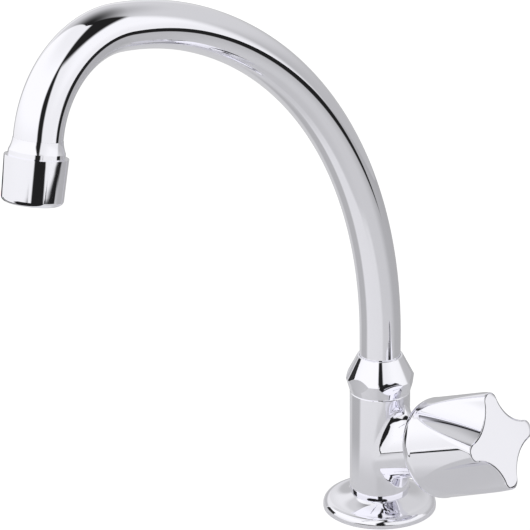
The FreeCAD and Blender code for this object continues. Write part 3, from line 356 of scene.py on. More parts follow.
def make_fibre(finishes):
    """Red vulcanised fibre with short matted strands."""
    return new_finish(
        "vulcanised_fibre", finishes.fibre_colour, shades=(0.7, 1.35), roughness=(0.6, 0.85),
        pattern={"scale": 900.0, "detail": 6.0, "roughness": 0.7}, strength=0.3, relief=0.0001)


def make_plastic(finishes):
    """White moulded plastic with a soft, slightly mottled gloss."""
    return new_finish(
        "white_plastic", finishes.plastic_colour, shades=(0.95, 1.0), roughness=(0.32, 0.48),
        pattern={"scale": 300.0, "detail": 3.0}, strength=0.06, relief=0.0001)


def make_ceramic(finishes):
    """Lapped alumina with a fine grain under a bright polish."""
    return new_finish(
        "lapped_ceramic", finishes.ceramic_colour, shades=(0.92, 1.0), roughness=(0.12, 0.24),
        pattern={"scale": 1400.0, "detail": 5.0, "roughness": 0.65}, strength=0.04, relief=0.00005)


MAKERS = {
    "chrome": make_chrome,
    "brass": make_brass,
    "steel": make_steel,
    "rubber": make_rubber,
    "fibre": make_fibre,
    "plastic": make_plastic,
    "ceramic": make_ceramic,
}
SLOT_OF_NODE = {part["node"]: part["material_slot"] for part in frame["record"]["subparts"]}
BODY_OF_NODE = {
    node: body for body, nodes in frame["record"]["behaviour"]["bodies"].items() for node in nodes}
materials = {}


class TAP_OT_finishes(bpy.types.Operator):
    """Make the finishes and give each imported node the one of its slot"""

    bl_idname = "tap.finishes"
    bl_label = "Finishes"

    def execute(self, context):
        for slot, maker in MAKERS.items():
            materials[slot] = maker(context.scene.tap_finishes)
        for name, node in frame["nodes"].items():
            node.data.materials.clear()
            node.data.materials.append(materials[SLOT_OF_NODE[name]])
        return {"FINISHED"}


# Mesh helpers

def new_object(name, mesh):
    """Link a mesh as a new object at the origin."""
    item = bpy.data.objects.new(name, mesh)
    bpy.context.scene.collection.objects.link(item)
    return item


def round_ring(radius, height, count=96):
    """Points on a circle round the upright axis."""
    angles = [2 * math.pi * index / count for index in range(count)]
    return [(radius * math.cos(angle), radius * math.sin(angle), height) for angle in angles]


def arc_points(centre, radius, first, last, count):
    """Points on an arc, as pairs of radius and place along the axis; angles in degrees."""
    steps = [first + (last - first) * index / count for index in range(count + 1)]
    return [(centre[0] + radius * math.cos(math.radians(step)),
             centre[1] + radius * math.sin(math.radians(step))) for step in steps]


def skin(rings, closed=False, poles=False):
    """A mesh through rings of points; closed joins the last ring to the first, poles closes both ends."""
    shape = bmesh.new()
    rows = [[shape.verts.new(point) for point in ring] for ring in rings]
    pairs = list(zip(rows, rows[1:]))
    if closed:
        pairs.append((rows[-1], rows[0]))
    for low, high in pairs:
        for index in range(len(low)):
            after = (index + 1) % len(low)
            shape.faces.new((low[index], low[after], high[after], high[index]))
    if poles:
        for row in (rows[0], rows[-1]):
            middle = sum((vertex.co for vertex in row), Vector()) / len(row)
            pole = shape.verts.new(middle)
            for index in range(len(row)):
                shape.faces.new((row[index], row[(index + 1) % len(row)], pole))
    bmesh.ops.recalc_face_normals(shape, faces=shape.faces)
    return shape


def merged(first, second):
    """Two meshes as one."""
    extra = bpy.data.meshes.new("extra")
    second.to_mesh(extra)
    second.free()
    first.from_mesh(extra)
    bpy.data.meshes.remove(extra)
    return first


def plain_object(name, shape, material):
    """An object from a finished mesh and its material."""
    mesh = bpy.data.meshes.new(name)
    shape.to_mesh(mesh)
    shape.free()
    mesh.materials.append(material)
    return new_object(name, mesh)


def finish_piece(name, shape, node, matrix=None, crease=25.0):
    """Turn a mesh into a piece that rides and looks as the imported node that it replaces."""
    if matrix:
        shape.transform(matrix)
    for face in shape.faces:
        face.smooth = True
    for edge in shape.edges:
        edge.smooth = edge.calc_face_angle(0.0) < math.radians(crease)
    piece = plain_object(name, shape, materials[SLOT_OF_NODE[node]])
    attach(piece, BODY_OF_NODE[node])
    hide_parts(node)


# Geometry Nodes helpers

def new_nodes(name, sizes, counts=()):
    """A geometry tree with inputs of these names, and the sockets that they arrive at."""
    tree = bpy.data.node_groups.new(name, "GeometryNodeTree")
    kinds = {"Geometry": "NodeSocketGeometry", "Finish": "NodeSocketMaterial"}
    kinds.update({label: "NodeSocketFloat" for label in sizes})
    kinds.update({label: "NodeSocketInt" for label in counts})
    for label, kind in kinds.items():
        tree.interface.new_socket(label, in_out="INPUT", socket_type=kind)
    tree.interface.new_socket("Geometry", in_out="OUTPUT", socket_type="NodeSocketGeometry")
    return tree, tree.nodes.new("NodeGroupInput").outputs


def vector(tree, **parts):
    """A vector from its parts x, y and z."""
    return result(tree, "ShaderNodeCombineXYZ", {name.upper(): part for name, part in parts.items()})


def placed(tree):
    """The x, y and z of the place that a field is worked out at."""
    place = result(tree, "GeometryNodeInputPosition")
    return add_node(tree, "ShaderNodeSeparateXYZ", {0: place}).outputs


def moved(tree, geometry, shift):
    """A geometry moved by a vector."""
    return result(tree, "GeometryNodeTransform", {"Geometry": geometry, "Translation": shift})


def join(tree, *parts):
    """Several geometries as one."""
    node = add_node(tree, "GeometryNodeJoinGeometry")
    for part in parts:
        tree.links.new(part, node.inputs["Geometry"])
    return node.outputs["Geometry"]


def circle(tree, radius, sides):
    """A circle or polygon in the level plane."""
    return result(tree, "GeometryNodeCurvePrimitiveCircle", {"Resolution": sides, "Radius": radius})


def sweep(tree, curve, section, caps=False):
    """A section swept along a curve."""
    inputs = {"Curve": curve, "Profile Curve": section, "Fill Caps": caps}
    return result(tree, "GeometryNodeCurveToMesh", inputs)


def close_nodes(tree, geometry, finish):
    """End a tree with real geometry and its material."""
    real = result(tree, "GeometryNodeRealizeInstances", {"Geometry": geometry})
    dressed = result(tree, "GeometryNodeSetMaterial", {"Geometry": real, "Material": finish})
    tree.links.new(dressed, tree.nodes.new("NodeGroupOutput").inputs[0])


def grow(tree, start, node, values):
    """Run a tree on a starting mesh or curve, with its inputs by name, and return the plain result."""
    item = new_object(tree.name, start)
    modifier = item.modifiers.new(tree.name, "NODES")
    modifier.node_group = tree
    values = {"Finish": materials[SLOT_OF_NODE[node]], **values}
    for socket in tree.interface.items_tree:
        if socket.in_out == "INPUT" and socket.name in values:
            modifier[socket.identifier] = values[socket.name]
    graph = bpy.context.evaluated_depsgraph_get()
    mesh = bpy.data.meshes.new_from_object(item.evaluated_get(graph), depsgraph=graph)
    item.modifiers.remove(modifier)
    bpy.data.objects.remove(item)
    shape = bmesh.new()
    shape.from_mesh(mesh)
    bpy.data.meshes.remove(mesh)
    return shape


# Spout tube

RISER_STEPS = 16
TUBE_SIDES = 96
WELD_DISTANCE = 0.001 * MILLIMETRE


def spout_path(spout):
    """The path of the tube's middle line, as points in the spout's plane, and its last heading."""
    rise_height = spout.bend_start - spout.foot
    heights = [spout.foot + rise_height * index / RISER_STEPS for index in range(RISER_STEPS + 1)]
    points = [Vector((0.0, 0.0, height)) for height in heights]
    heading = 0.0
    bends = (
        (spout.sweep_radius, spout.sweep_turn), (spout.crown_radius, spout.crown_turn),
        (spout.drop_radius, spout.drop_turn))
    for radius, turn in bends:
        start = points[-1]
        # One step for each degree
        steps = round(math.degrees(turn))
        for index in range(1, steps + 1):
            angle = heading + turn * index / steps
            reach = radius * (math.cos(heading) - math.cos(angle))
            climb = radius * (math.sin(angle) - math.sin(heading))
            points.append(start + Vector((0.0, -reach, climb)))
        heading += turn
    along = Vector((0.0, -math.sin(heading), math.cos(heading)))
    points.append(points[-1] + along * spout.outlet_run)
    return points, heading


def tube_nodes():
    """A pipe with a wall, swept along the curve that the tree starts from."""
    tree, given = new_nodes("swept_pipe", ("Radius", "Wall"), ("Sides",))
    outside = sweep(tree, given["Geometry"], circle(tree, given["Radius"], given["Sides"]))
    inward = times(tree, given["Wall"], -1.0)
    inputs = {"Mesh": outside, "Offset Scale": inward, "Individual": False}
    bore = result(tree, "GeometryNodeExtrudeMesh", inputs, mode="FACES")
    bore = result(tree, "GeometryNodeFlipFaces", {"Mesh": bore})
    inputs = {"Geometry": join(tree, outside, bore), "Distance": WELD_DISTANCE}
    close_nodes(tree, result(tree, "GeometryNodeMergeByDistance", inputs), given["Finish"])
    return tree


class TAP_OT_spout(bpy.types.Operator):
    """Sweep the swan-neck tube along its path"""

    bl_idname = "tap.spout"
    bl_label = "Spout tube"

    def execute(self, context):
        spout = context.scene.tap_spout
        points = spout_path(spout)[0]
        path = bpy.data.curves.new("spout_path", "CURVE")
        path.dimensions = "3D"
        line = path.splines.new("POLY")
        line.points.add(len(points) - 1)
        for knot, point in zip(line.points, points):
            knot.co = (*point, 1.0)
        values = {"Radius": spout.tube_radius, "Wall": spout.tube_wall, "Sides": TUBE_SIDES}
        finish_piece("spout", grow(tube_nodes(), path, "spout_tube", values), "spout_tube")
        return {"FINISHED"}


# Threaded shank

# Heights above the deck
SHANK_TOP, THREAD_HIGH, RELIEF_HIGH, RELIEF_LOW, THREAD_LOW, SHANK_END = millimetres(
    17.0, 16.2, -24.0, -25.5, -48.8, -50.0)
SHANK_BORE, SHANK_CHAMFER, RELIEF_DEPTH = millimetres(6.5, 0.6, 0.1)
# The thread fades out over this length beside the relief, and its foot is sunk in the shank
THREAD_FADE, THREAD_SINK = millimetres(0.6, 0.03)
TURN_STEPS = 48


def thread_nodes():
    """A right-hand screw thread that fades out at both ends and in the relief."""
    tree, given = new_nodes("screw_thread", ("Root radius", "Depth", "Pitch", "Low", "High"))
    length = minus(tree, given["High"], given["Low"])
    inputs = {
        "Resolution": TURN_STEPS, "Rotations": calculate(tree, "DIVIDE", length, given["Pitch"]),
        "Start Radius": given["Root radius"], "End Radius": given["Root radius"], "Height": length}
    helix = result(tree, "GeometryNodeCurveSpiral", inputs)
    helix = moved(tree, helix, vector(tree, z=given["Low"]))
    helix = result(tree, "GeometryNodeSetCurveNormal", {"Curve": helix}, mode="Z_UP")
    # Run backwards, so that the sections point outwards
    helix = result(tree, "GeometryNodeReverseCurve", {"Curve": helix})
    height = placed(tree)["Z"]
    in_relief = band(
        tree, height, RELIEF_LOW - THREAD_FADE, RELIEF_LOW, RELIEF_HIGH, RELIEF_HIGH + THREAD_FADE)
    fade = times(
        tree,
        rise(tree, height, given["Low"], calculate(tree, "ADD", given["Low"], given["Pitch"])),
        fall(tree, height, minus(tree, given["High"], given["Pitch"]), given["High"]),
        minus(tree, 1.0, in_relief))
    helix = result(tree, "GeometryNodeSetCurveRadius", {"Curve": helix, "Radius": fade})
    # A triangle is one and a half times its radius high, and its foot is half a radius from its middle
    radius = calculate(tree, "DIVIDE", given["Depth"], 1.5)
    triangle = moved(tree, circle(tree, radius, 3), vector(tree, x=times(tree, radius, 0.5)))
    close_nodes(tree, sweep(tree, helix, triangle, caps=True), given["Finish"])
    return tree


class TAP_OT_shank(bpy.types.Operator):
    """Make the inlet shank with its real thread"""

    bl_idname = "tap.shank"
    bl_label = "Inlet shank"

    def execute(self, context):
        shank = context.scene.tap_shank
        root = shank.thread_radius - shank.thread_depth
        groove = root - RELIEF_DEPTH
        chamfer_top = SHANK_END + SHANK_CHAMFER
        profile = [
            (SHANK_BORE + SHANK_CHAMFER, SHANK_END), (root - SHANK_CHAMFER, SHANK_END), (root, chamfer_top),
            (root, RELIEF_LOW), (groove, RELIEF_LOW), (groove, RELIEF_HIGH), (root, RELIEF_HIGH),
            (root, SHANK_TOP), (SHANK_BORE, SHANK_TOP), (SHANK_BORE, chamfer_top)]
        shape = skin([round_ring(radius, height) for radius, height in profile], closed=True)
        values = {
            "Root radius": root - THREAD_SINK, "Depth": shank.thread_depth + THREAD_SINK,
            "Pitch": shank.thread_pitch, "Low": THREAD_LOW, "High": THREAD_HIGH}
        thread = grow(thread_nodes(), bpy.data.meshes.new("thread"), "inlet_shank", values)
        finish_piece("shank", merged(shape, thread), "inlet_shank")
        return {"FINISHED"}


# Aerator screens

SCREENS = ("aerator_screen_upper", "aerator_screen_lower")
# How far each lies beyond the tube's end, and how far the second is turned
SCREEN_PLACES = millimetres(10.45, 11.45)
SCREEN_TURN = 45.0
STEPS_PER_PITCH = 4.0
WIRE_SIDES, RIM_SIDES, RIM_STEPS = 5, 12, 96
# The rim's section against a wire's
RIM_SHARE = 2.0


def weave_nodes():
    """A plain weave of round wires inside a round rim, in the level plane."""
    tree, given = new_nodes("woven_screen", ("Reach", "Pitch", "Wire"))
    reach, pitch, thickness = given["Reach"], given["Pitch"], given["Wire"]
    # Straight wires side by side, from one side of the rim to the other
    half = calculate(tree, "FLOOR", calculate(tree, "DIVIDE", reach, pitch))
    inputs = {
        "Count": calculate(tree, "ADD", times(tree, half, 2.0), 1.0),
        "Start Location": vector(tree, y=times(tree, half, pitch, -1.0)),
        "Offset": vector(tree, y=pitch)}
    places = result(tree, "GeometryNodeMeshLine", inputs, mode="OFFSET")
    ends = {"Start": vector(tree, x=times(tree, reach, -1.0)), "End": vector(tree, x=reach)}
    wire = result(tree, "GeometryNodeCurvePrimitiveLine", ends)
    inputs = {"Curve": wire, "Length": calculate(tree, "DIVIDE", pitch, STEPS_PER_PITCH)}
    wire = result(tree, "GeometryNodeResampleCurve", inputs, mode="LENGTH")
    wires = result(tree, "GeometryNodeInstanceOnPoints", {"Points": places, "Instance": wire})
    wires = result(tree, "GeometryNodeRealizeInstances", {"Geometry": wires})
    # Each wire passes over and under its neighbours in turn
    parts = placed(tree)
    both = calculate(tree, "DIVIDE", calculate(tree, "ADD", parts["X"], parts["Y"]), pitch)
    wave = calculate(tree, "COSINE", times(tree, both, math.pi))
    inputs = {"Geometry": wires, "Offset": vector(tree, z=times(tree, wave, thickness))}
    wires = result(tree, "GeometryNodeSetPosition", inputs)
    # What lies outside the rim goes
    flat = vector(tree, x=parts["X"], y=parts["Y"])
    away = add_node(tree, "ShaderNodeVectorMath", {0: flat}, operation="LENGTH").outputs["Value"]
    outside = calculate(tree, "GREATER_THAN", away, minus(tree, reach, thickness))
    wires = result(tree, "GeometryNodeDeleteGeometry", {"Geometry": wires, "Selection": outside})
    warp = sweep(tree, wires, circle(tree, thickness, WIRE_SIDES), caps=True)
    # The weft is the warp turned over and a quarter round
    inputs = {"Geometry": warp, "Rotation": (math.pi, 0.0, math.pi / 2)}
    weft = result(tree, "GeometryNodeTransform", inputs)
    section = times(tree, thickness, RIM_SHARE)
    rim = circle(tree, minus(tree, reach, section), RIM_STEPS)
    rim = sweep(tree, rim, circle(tree, section, RIM_SIDES))
    close_nodes(tree, join(tree, warp, weft, rim), given["Finish"])
    return tree


class TAP_OT_screens(bpy.types.Operator):
    """Weave the two wire screens of the aerator"""

    bl_idname = "tap.screens"
    bl_label = "Aerator screens"

    def execute(self, context):
        screens = context.scene.tap_screens
        points, heading = spout_path(context.scene.tap_spout)
        outlet = Matrix.Translation(points[-1]) @ Matrix.Rotation(heading, 4, "X")
        values = {"Reach": screens.screen_radius, "Pitch": screens.mesh_pitch, "Wire": screens.wire_radius}
        tree = weave_nodes()
        for number, (node, along) in enumerate(zip(SCREENS, SCREEN_PLACES)):
            turned = Matrix.Rotation(math.radians(SCREEN_TURN * number), 4, "Z")
            matrix = outlet @ Matrix.Translation((0.0, 0.0, along)) @ turned
            shape = grow(tree, bpy.data.meshes.new("weave"), node, values)
            finish_piece(node.replace("aerator_", "") + "_weave", shape, node, matrix, crease=60.0)
        return {"FINISHED"}


# Knob

BRANCH_HEIGHT = 26.1 * MILLIMETRE
BRANCH_TILT = math.radians(21.2)
ON_BRANCH = (Matrix.Translation((0.0, 0.0, BRANCH_HEIGHT))
             @ Matrix.Rotation(math.pi / 2 - BRANCH_TILT, 4, "Y"))
LOBES = 4
LOBE_STEPS = 128
RING_STEPS = LOBES * LOBE_STEPS
EDGE_STEPS, SHOULDER_STEPS, FLUTE_STEPS, WALL_STEPS, PLUG_STEPS = 4, 20, 60, 12, 4

# Places along the branch and radii round it, inside the knob
CUP_TOP, WEB_TOP, SPLINE_TOP, HUB_TOP = millimetres(46.1, 49.1, 56.3, 58.9)
HOLE_RADIUS, CUP_RADIUS, HUB_RADIUS, SPLINE_RADIUS, SCREW_RADIUS = millimetres(13.0, 18.0, 7.0, 4.03, 2.05)
BACK_WALL, SIDE_WALL, KNOB_EDGE = millimetres(1.8, 2.0, 0.25)

# The rim round the plate, the plate, and the plug below it that fills the hollow's mouth
RIM_DROP, RIM_WIDTH = millimetres(0.3, 0.3)
PLATE_INSET, PLATE_DEPTH, PLATE_EDGE = millimetres(0.55, 1.5, 0.2)
PLATE_SHARES = (0.1, 0.4, 0.7, 0.9)
PLUG_GAP, PLUG_INSET, PLUG_DEPTH = millimetres(0.02, 2.3, 3.0)


def to_circle(away, reach, radius):
    """Distance along a ray to a circle; a negative radius gives its near side."""
    sideways = reach * math.sin(away)
    return reach * math.cos(away) + math.copysign(math.sqrt(radius ** 2 - sideways ** 2), radius)


def knob_radii(knob, along):
    """Radii round the knob at a place along the branch: round at its back, lobed at its face.

    Each hollow's floor is a straight line from the skirt to the face. It starts a little to one
    side, so the flutes wind slightly. An arc joins each hollow to the lobes beside it.
    """
    share = max(0.0, (along - knob.back) / (knob.reach - knob.back))
    rim = knob.skirt_radius + (knob.tip_radius - knob.skirt_radius) * share
    run = (along - knob.flute_start) / (knob.reach - knob.flute_start)
    if run <= 0:
        return [rim] * RING_STEPS
    start = (knob.skirt_radius * math.cos(knob.wind), knob.skirt_radius * math.sin(knob.wind))
    floor_x = start[0] + (knob.waist_radius - start[0]) * run
    floor_y = start[1] * (1 - run)
    turn = math.atan2(floor_y, floor_x)
    flute = knob.flute_radius
    joint = knob.edge_round + (knob.tip_round - knob.edge_round) * run
    flute_reach = math.hypot(floor_x, floor_y) + flute
    joint_reach = rim - joint
    cosine = (joint_reach ** 2 + flute_reach ** 2 - (flute + joint) ** 2) / (2 * joint_reach * flute_reach)
    joint_end = math.acos(min(1.0, cosine))
    touch_x = joint_reach * math.cos(joint_end)
    touch_y = joint_reach * math.sin(joint_end)
    pull = joint / (flute + joint)
    touch = math.atan2(touch_y * (1 - pull), touch_x + (flute_reach - touch_x) * pull)
    quarter = 2 * math.pi / LOBES
    radii = []
    for index in range(LOBE_STEPS):
        away = abs((quarter * index / LOBE_STEPS - turn + quarter / 2) % quarter - quarter / 2)
        if away >= joint_end:
            radii.append(rim)
        elif away >= touch:
            radii.append(to_circle(joint_end - away, joint_reach, joint))
        else:
            radii.append(to_circle(away, flute_reach, -flute))
    return radii * LOBES


def inside(radii, inset):
    """A line of radii that runs inside another at a distance."""
    step = 2 * math.pi / len(radii)
    inner = []
    for index, radius in enumerate(radii):
        slope = (radii[(index + 1) % len(radii)] - radii[index - 1]) / (2 * step * radius)
        inner.append(radius - inset * math.sqrt(1 + slope ** 2))
    return inner


def knob_ring(knob, radii, along):
    """Points round the branch's axis; one radius stands for a circle."""
    if not isinstance(radii, list):
        radii = [radii] * RING_STEPS
    first = knob.lobe_turn + math.pi / LOBES
    ring = []
    for index, radius in enumerate(radii):
        angle = first + 2 * math.pi * index / RING_STEPS
        ring.append((radius * math.cos(angle), radius * math.sin(angle), along))
    return ring


def knob_shell(knob):
    """The hollow knob: its back, flutes, rim, hollow and hub, as one closed skin."""
    rim_top = knob.reach - RIM_DROP
    plate_low = knob.reach - PLATE_DEPTH
    back_inside = knob.back + BACK_WALL
    low, high = knob.back + knob.shoulder, rim_top - KNOB_EDGE

    # The hole in the back, its edge and the rounded shoulder
    profile = [(HOLE_RADIUS, back_inside), (HOLE_RADIUS, knob.back + KNOB_EDGE)]
    edge_centre = (HOLE_RADIUS + KNOB_EDGE, knob.back + KNOB_EDGE)
    profile += arc_points(edge_centre, KNOB_EDGE, 180, 270, EDGE_STEPS)
    shoulder_centre = (knob.skirt_radius - knob.shoulder, low)
    profile += arc_points(shoulder_centre, knob.shoulder, -90, 0, SHOULDER_STEPS)
    # The skirt and the flutes
    for index in range(1, FLUTE_STEPS + 1):
        along = low + (high - low) * index / FLUTE_STEPS
        profile.append((knob_radii(knob, along), along))
    # The rim round the plate
    top = knob_radii(knob, rim_top)
    for inset, along in arc_points((KNOB_EDGE, high), KNOB_EDGE, 165, 90, EDGE_STEPS):
        profile.append((inside(top, inset), along))
    for along in (rim_top, plate_low):
        profile.append((inside(top, RIM_WIDTH), along))
    # The hollow behind the plate
    for index in range(WALL_STEPS + 1):
        along = plate_low + (WEB_TOP - plate_low) * index / WALL_STEPS
        profile.append((inside(knob_radii(knob, along), SIDE_WALL), along))
    # The hub with its screw hole and spline, and the cup behind it
    profile += [
        (HUB_RADIUS, WEB_TOP), (HUB_RADIUS, HUB_TOP), (SCREW_RADIUS, HUB_TOP), (SCREW_RADIUS, SPLINE_TOP),
        (SPLINE_RADIUS, SPLINE_TOP), (SPLINE_RADIUS, CUP_TOP), (CUP_RADIUS, CUP_TOP),
        (CUP_RADIUS, back_inside)]
    return skin([knob_ring(knob, radii, along) for radii, along in profile], closed=True)


def knob_plate(knob):
    """The plate in the knob's face and the plug below it."""
    face = knob_radii(knob, knob.reach)
    profile = [([radius * share for radius in face], knob.reach) for share in PLATE_SHARES]
    edge_centre = (PLATE_INSET + PLATE_EDGE, knob.reach - PLATE_EDGE)
    for inset, along in arc_points(edge_centre, PLATE_EDGE, 90, 180, EDGE_STEPS):
        profile.append((inside(face, inset), along))
    plug_top = knob.reach - PLATE_DEPTH + PLUG_GAP
    profile.append((inside(face, PLATE_INSET), plug_top))
    for index in range(PLUG_STEPS + 1):
        along = plug_top - PLUG_DEPTH * index / PLUG_STEPS
        profile.append((inside(knob_radii(knob, along), PLUG_INSET), along))
    profile.append((HUB_RADIUS, plug_top - PLUG_DEPTH))
    return skin([knob_ring(knob, radii, along) for radii, along in profile], poles=True)


class TAP_OT_knob(bpy.types.Operator):
    """Make the hollow four-lobed knob and the plate in its face"""

    bl_idname = "tap.knob"
    bl_label = "Knob"

    def execute(self, context):
        knob = context.scene.tap_knob
        finish_piece("knob", knob_shell(knob), "knob_shell", ON_BRANCH)
        finish_piece("knob_plate", knob_plate(knob), "knob_face", ON_BRANCH)
        return {"FINISHED"}


# Studio

FLOOR_SIZE = 6.0
TENT_CENTRE = (0.0, -0.05, 0.0)
SENSOR_WIDTH = 36.0

# A turn below is an angle round the tap, 0 at the camera and positive to its right, and a lift is an
# angle above the deck. Two values are a soft step's ends, and four a band's start, full, last and end.
# The panel on the camera's left, with its brighter middle
LEFT_MIDDLE_LIFT = degrees(5, 30, 50, 75)
LEFT_PANEL_TURN = degrees(226, 232)
LEFT_PANEL_SHARES = (0.92, 1.04)
# The panel on the camera's right, which ends below the top
RIGHT_MIDDLE_LIFT = degrees(8, 28, 45, 58)
RIGHT_MIDDLE_TURN = degrees(25, 60, 95, 110)
RIGHT_PANEL_SHARE = 0.91
RIGHT_PANEL_TOP = degrees(48, 56)
# The wall behind the tap, with a paler patch, lighter half way up and dark at the top
WALL_TURN = degrees(98, 108)
WALL_RISE = degrees(10, 32)
WALL_SHARE = 1.31
WALL_PATCH_TURN = degrees(165, 195, 232, 240)
WALL_PATCH_LIFT = degrees(14, 24, 32, 42)
WALL_PATCH_LEVEL = 0.86
WALL_TOP = degrees(46, 86)
# The gap in front, whose left edge leans as a share of the tent's radius
GAP_LEAN_HEIGHT = (0.5, 1.05)
GAP_LEAN_REACH = (-0.115, 0.10)
GAP_EDGE_WIDTH = 0.08
GAP_RIGHT_TURN = degrees(11, 17)
FRONT_TURN = degrees(-76, -74, 74, 76)
# The tent's lower edge: its lift in front, then where it is lower or higher beside that
FOOT_FRONT_LIFT, FOOT_FRONT_TURN = degrees(6.5, 8.5), degrees(0, 15)
FOOT_RIGHT_LIFT, FOOT_RIGHT_TURN = math.radians(-1), degrees(20, 42)
FOOT_LEFT_LIFT, FOOT_LEFT_TURN = math.radians(10), degrees(-16, -6)
FOOT_FAR_LEFT_LIFT, FOOT_FAR_LEFT_TURN = math.radians(-2), degrees(-62, -34)
FOOT_SOFTNESS = degrees(-1, 1)
FOOT_TURN = degrees(-111, -110, 60, 61)

# The table's paler part in front, which ends along a line that turns with the distance from the tap. Nearer
# the tap the table keeps its lower tone, painted shade round the tap's foot.
PALE_SHARE = 1.22
PALE_TURN = degrees(-84, -70)
PALE_REACH = (0.05, 0.09)
PALE_END_TURN = degrees(-19, 15)
PALE_END_REACH = (0.10, 0.16)
PALE_END_SOFTNESS = degrees(-7, 7)
# Its darker parts, painted shade of the tap on the table: on the right near the tap under the knob, behind
# the tap, and on the left the tap's shadow from the right panel
RIGHT_SHADE_SHARE, RIGHT_SHADE_TURN, RIGHT_SHADE_REACH = 0.91, degrees(-16, -4, 44, 60), (0.02, 0.05, 0.08, 0.16)
BEHIND_SHADE_SHARE, BEHIND_SHADE_TURN, BEHIND_SHADE_REACH = 0.73, degrees(60, 95, 168, 200), (0.04, 0.16)
LEFT_SHADOW_SHARE, LEFT_SHADOW_TURN, LEFT_SHADOW_REACH = 0.73, degrees(-135, -118, -84, -72), (0.04, 0.10)
# Its ends, and the feet of the two panels beyond them
FRONT_EDGE = (0.24, 0.27)
RIGHT_EDGE, RIGHT_EDGE_TURN = (0.42, 0.47), degrees(99, 101)
PANEL_FOOT_SHARE = 0.92
RIGHT_FOOT, RIGHT_FOOT_TURN = (0.54, 0.60), degrees(38, 42, 78, 84)
LEFT_FOOT, LEFT_FOOT_TURN = (0.34, 0.36), degrees(-114, -106, -62, -52)
# How much of the table's tone is its own light, and how much is lit and takes the tap's shade
TABLE_GLOW, TABLE_PAINT = 0.5, 0.62
# The floor to the camera, where the two together are white, and to light that is scattered
SEEN_GLOW, SEEN_PAINT, FLOOR_PAINT = 0.9, 0.25, 0.75

# The dark flag's place, in degrees and metres
FLAG_TURN, FLAG_AWAY, FLAG_WIDTH = -111.0, 0.337, 0.155
FLAG_SHARE = 2.0


def polar(tree, place, centre):
    """The turn round a centre, the distance to its right as the camera sees it, and the x, y and z."""
    inputs = {0: place, 1: centre}
    parts = result(tree, "ShaderNodeVectorMath", inputs, operation="SUBTRACT")
    parts = add_node(tree, "ShaderNodeSeparateXYZ", {0: parts}).outputs
    cosine, sine = math.cos(CAMERA_AZIMUTH), math.sin(CAMERA_AZIMUTH)
    forward = calculate(tree, "ADD", times(tree, parts["X"], cosine), times(tree, parts["Y"], sine))
    right = calculate(tree, "ADD", times(tree, parts["X"], -sine), times(tree, parts["Y"], cosine))
    return calculate(tree, "ARCTAN2", right, forward), right, parts


def whole_turn(tree, angle):
    """An angle between 0 and a whole turn."""
    return calculate(tree, "FLOORED_MODULO", angle, math.tau)


def emission(tree, strength):
    """Plain light of one strength."""
    return result(tree, "ShaderNodeEmission", {"Strength": strength})


def make_tent_material(studio):
    """The light tent's inside: two panels, a wall, and the dark gaps between them."""
    material, tree, output = new_material("studio_tent")
    turn, right, parts = polar(tree, object_position(tree), TENT_CENTRE)
    height = calculate(tree, "DIVIDE", parts["Z"], studio.tent_radius)
    lift = calculate(tree, "ARCSINE", calculate(tree, "MINIMUM", height, 1.0))
    round_turn = whole_turn(tree, turn)
    bright, dark = studio.panel_level, studio.dark_level

    low, high = (bright * share for share in LEFT_PANEL_SHARES)
    left_panel = between(tree, low, high, band(tree, lift, *LEFT_MIDDLE_LIFT))

    masks = (band(tree, lift, *RIGHT_MIDDLE_LIFT), band(tree, turn, *RIGHT_MIDDLE_TURN))
    right_panel = over(tree, bright * RIGHT_PANEL_SHARE, bright, *masks)
    right_panel = over(tree, right_panel, dark, rise(tree, lift, *RIGHT_PANEL_TOP))

    wall = between(tree, studio.wall_level, studio.wall_level * WALL_SHARE, rise(tree, lift, *WALL_RISE))
    masks = (band(tree, round_turn, *WALL_PATCH_TURN), band(tree, lift, *WALL_PATCH_LIFT))
    wall = over(tree, wall, WALL_PATCH_LEVEL, *masks)
    wall = over(tree, wall, dark, rise(tree, lift, *WALL_TOP))

    level = over(tree, right_panel, wall, rise(tree, round_turn, *WALL_TURN))
    level = over(tree, level, left_panel, rise(tree, round_turn, *LEFT_PANEL_TURN))

    lean = between(tree, *GAP_LEAN_REACH, rise(tree, height, *GAP_LEAN_HEIGHT))
    past_edge = minus(tree, calculate(tree, "DIVIDE", right, studio.tent_radius), lean)
    front = over(tree, level, dark, fall(tree, turn, *GAP_RIGHT_TURN))
    front = over(tree, left_panel, front, rise(tree, past_edge, 0.0, GAP_EDGE_WIDTH))
    level = over(tree, level, front, band(tree, turn, *FRONT_TURN))

    foot = between(tree, *FOOT_FRONT_LIFT, rise(tree, turn, *FOOT_FRONT_TURN))
    foot = over(tree, foot, FOOT_RIGHT_LIFT, rise(tree, turn, *FOOT_RIGHT_TURN))
    foot = over(tree, foot, FOOT_LEFT_LIFT, fall(tree, turn, *FOOT_LEFT_TURN))
    foot = over(tree, foot, FOOT_FAR_LEFT_LIFT, fall(tree, turn, *FOOT_FAR_LEFT_TURN))
    below = fall(tree, minus(tree, lift, foot), *FOOT_SOFTNESS)
    level = over(tree, level, dark, below, band(tree, turn, *FOOT_TURN))

    tree.links.new(emission(tree, level), output.inputs["Surface"])
    return material


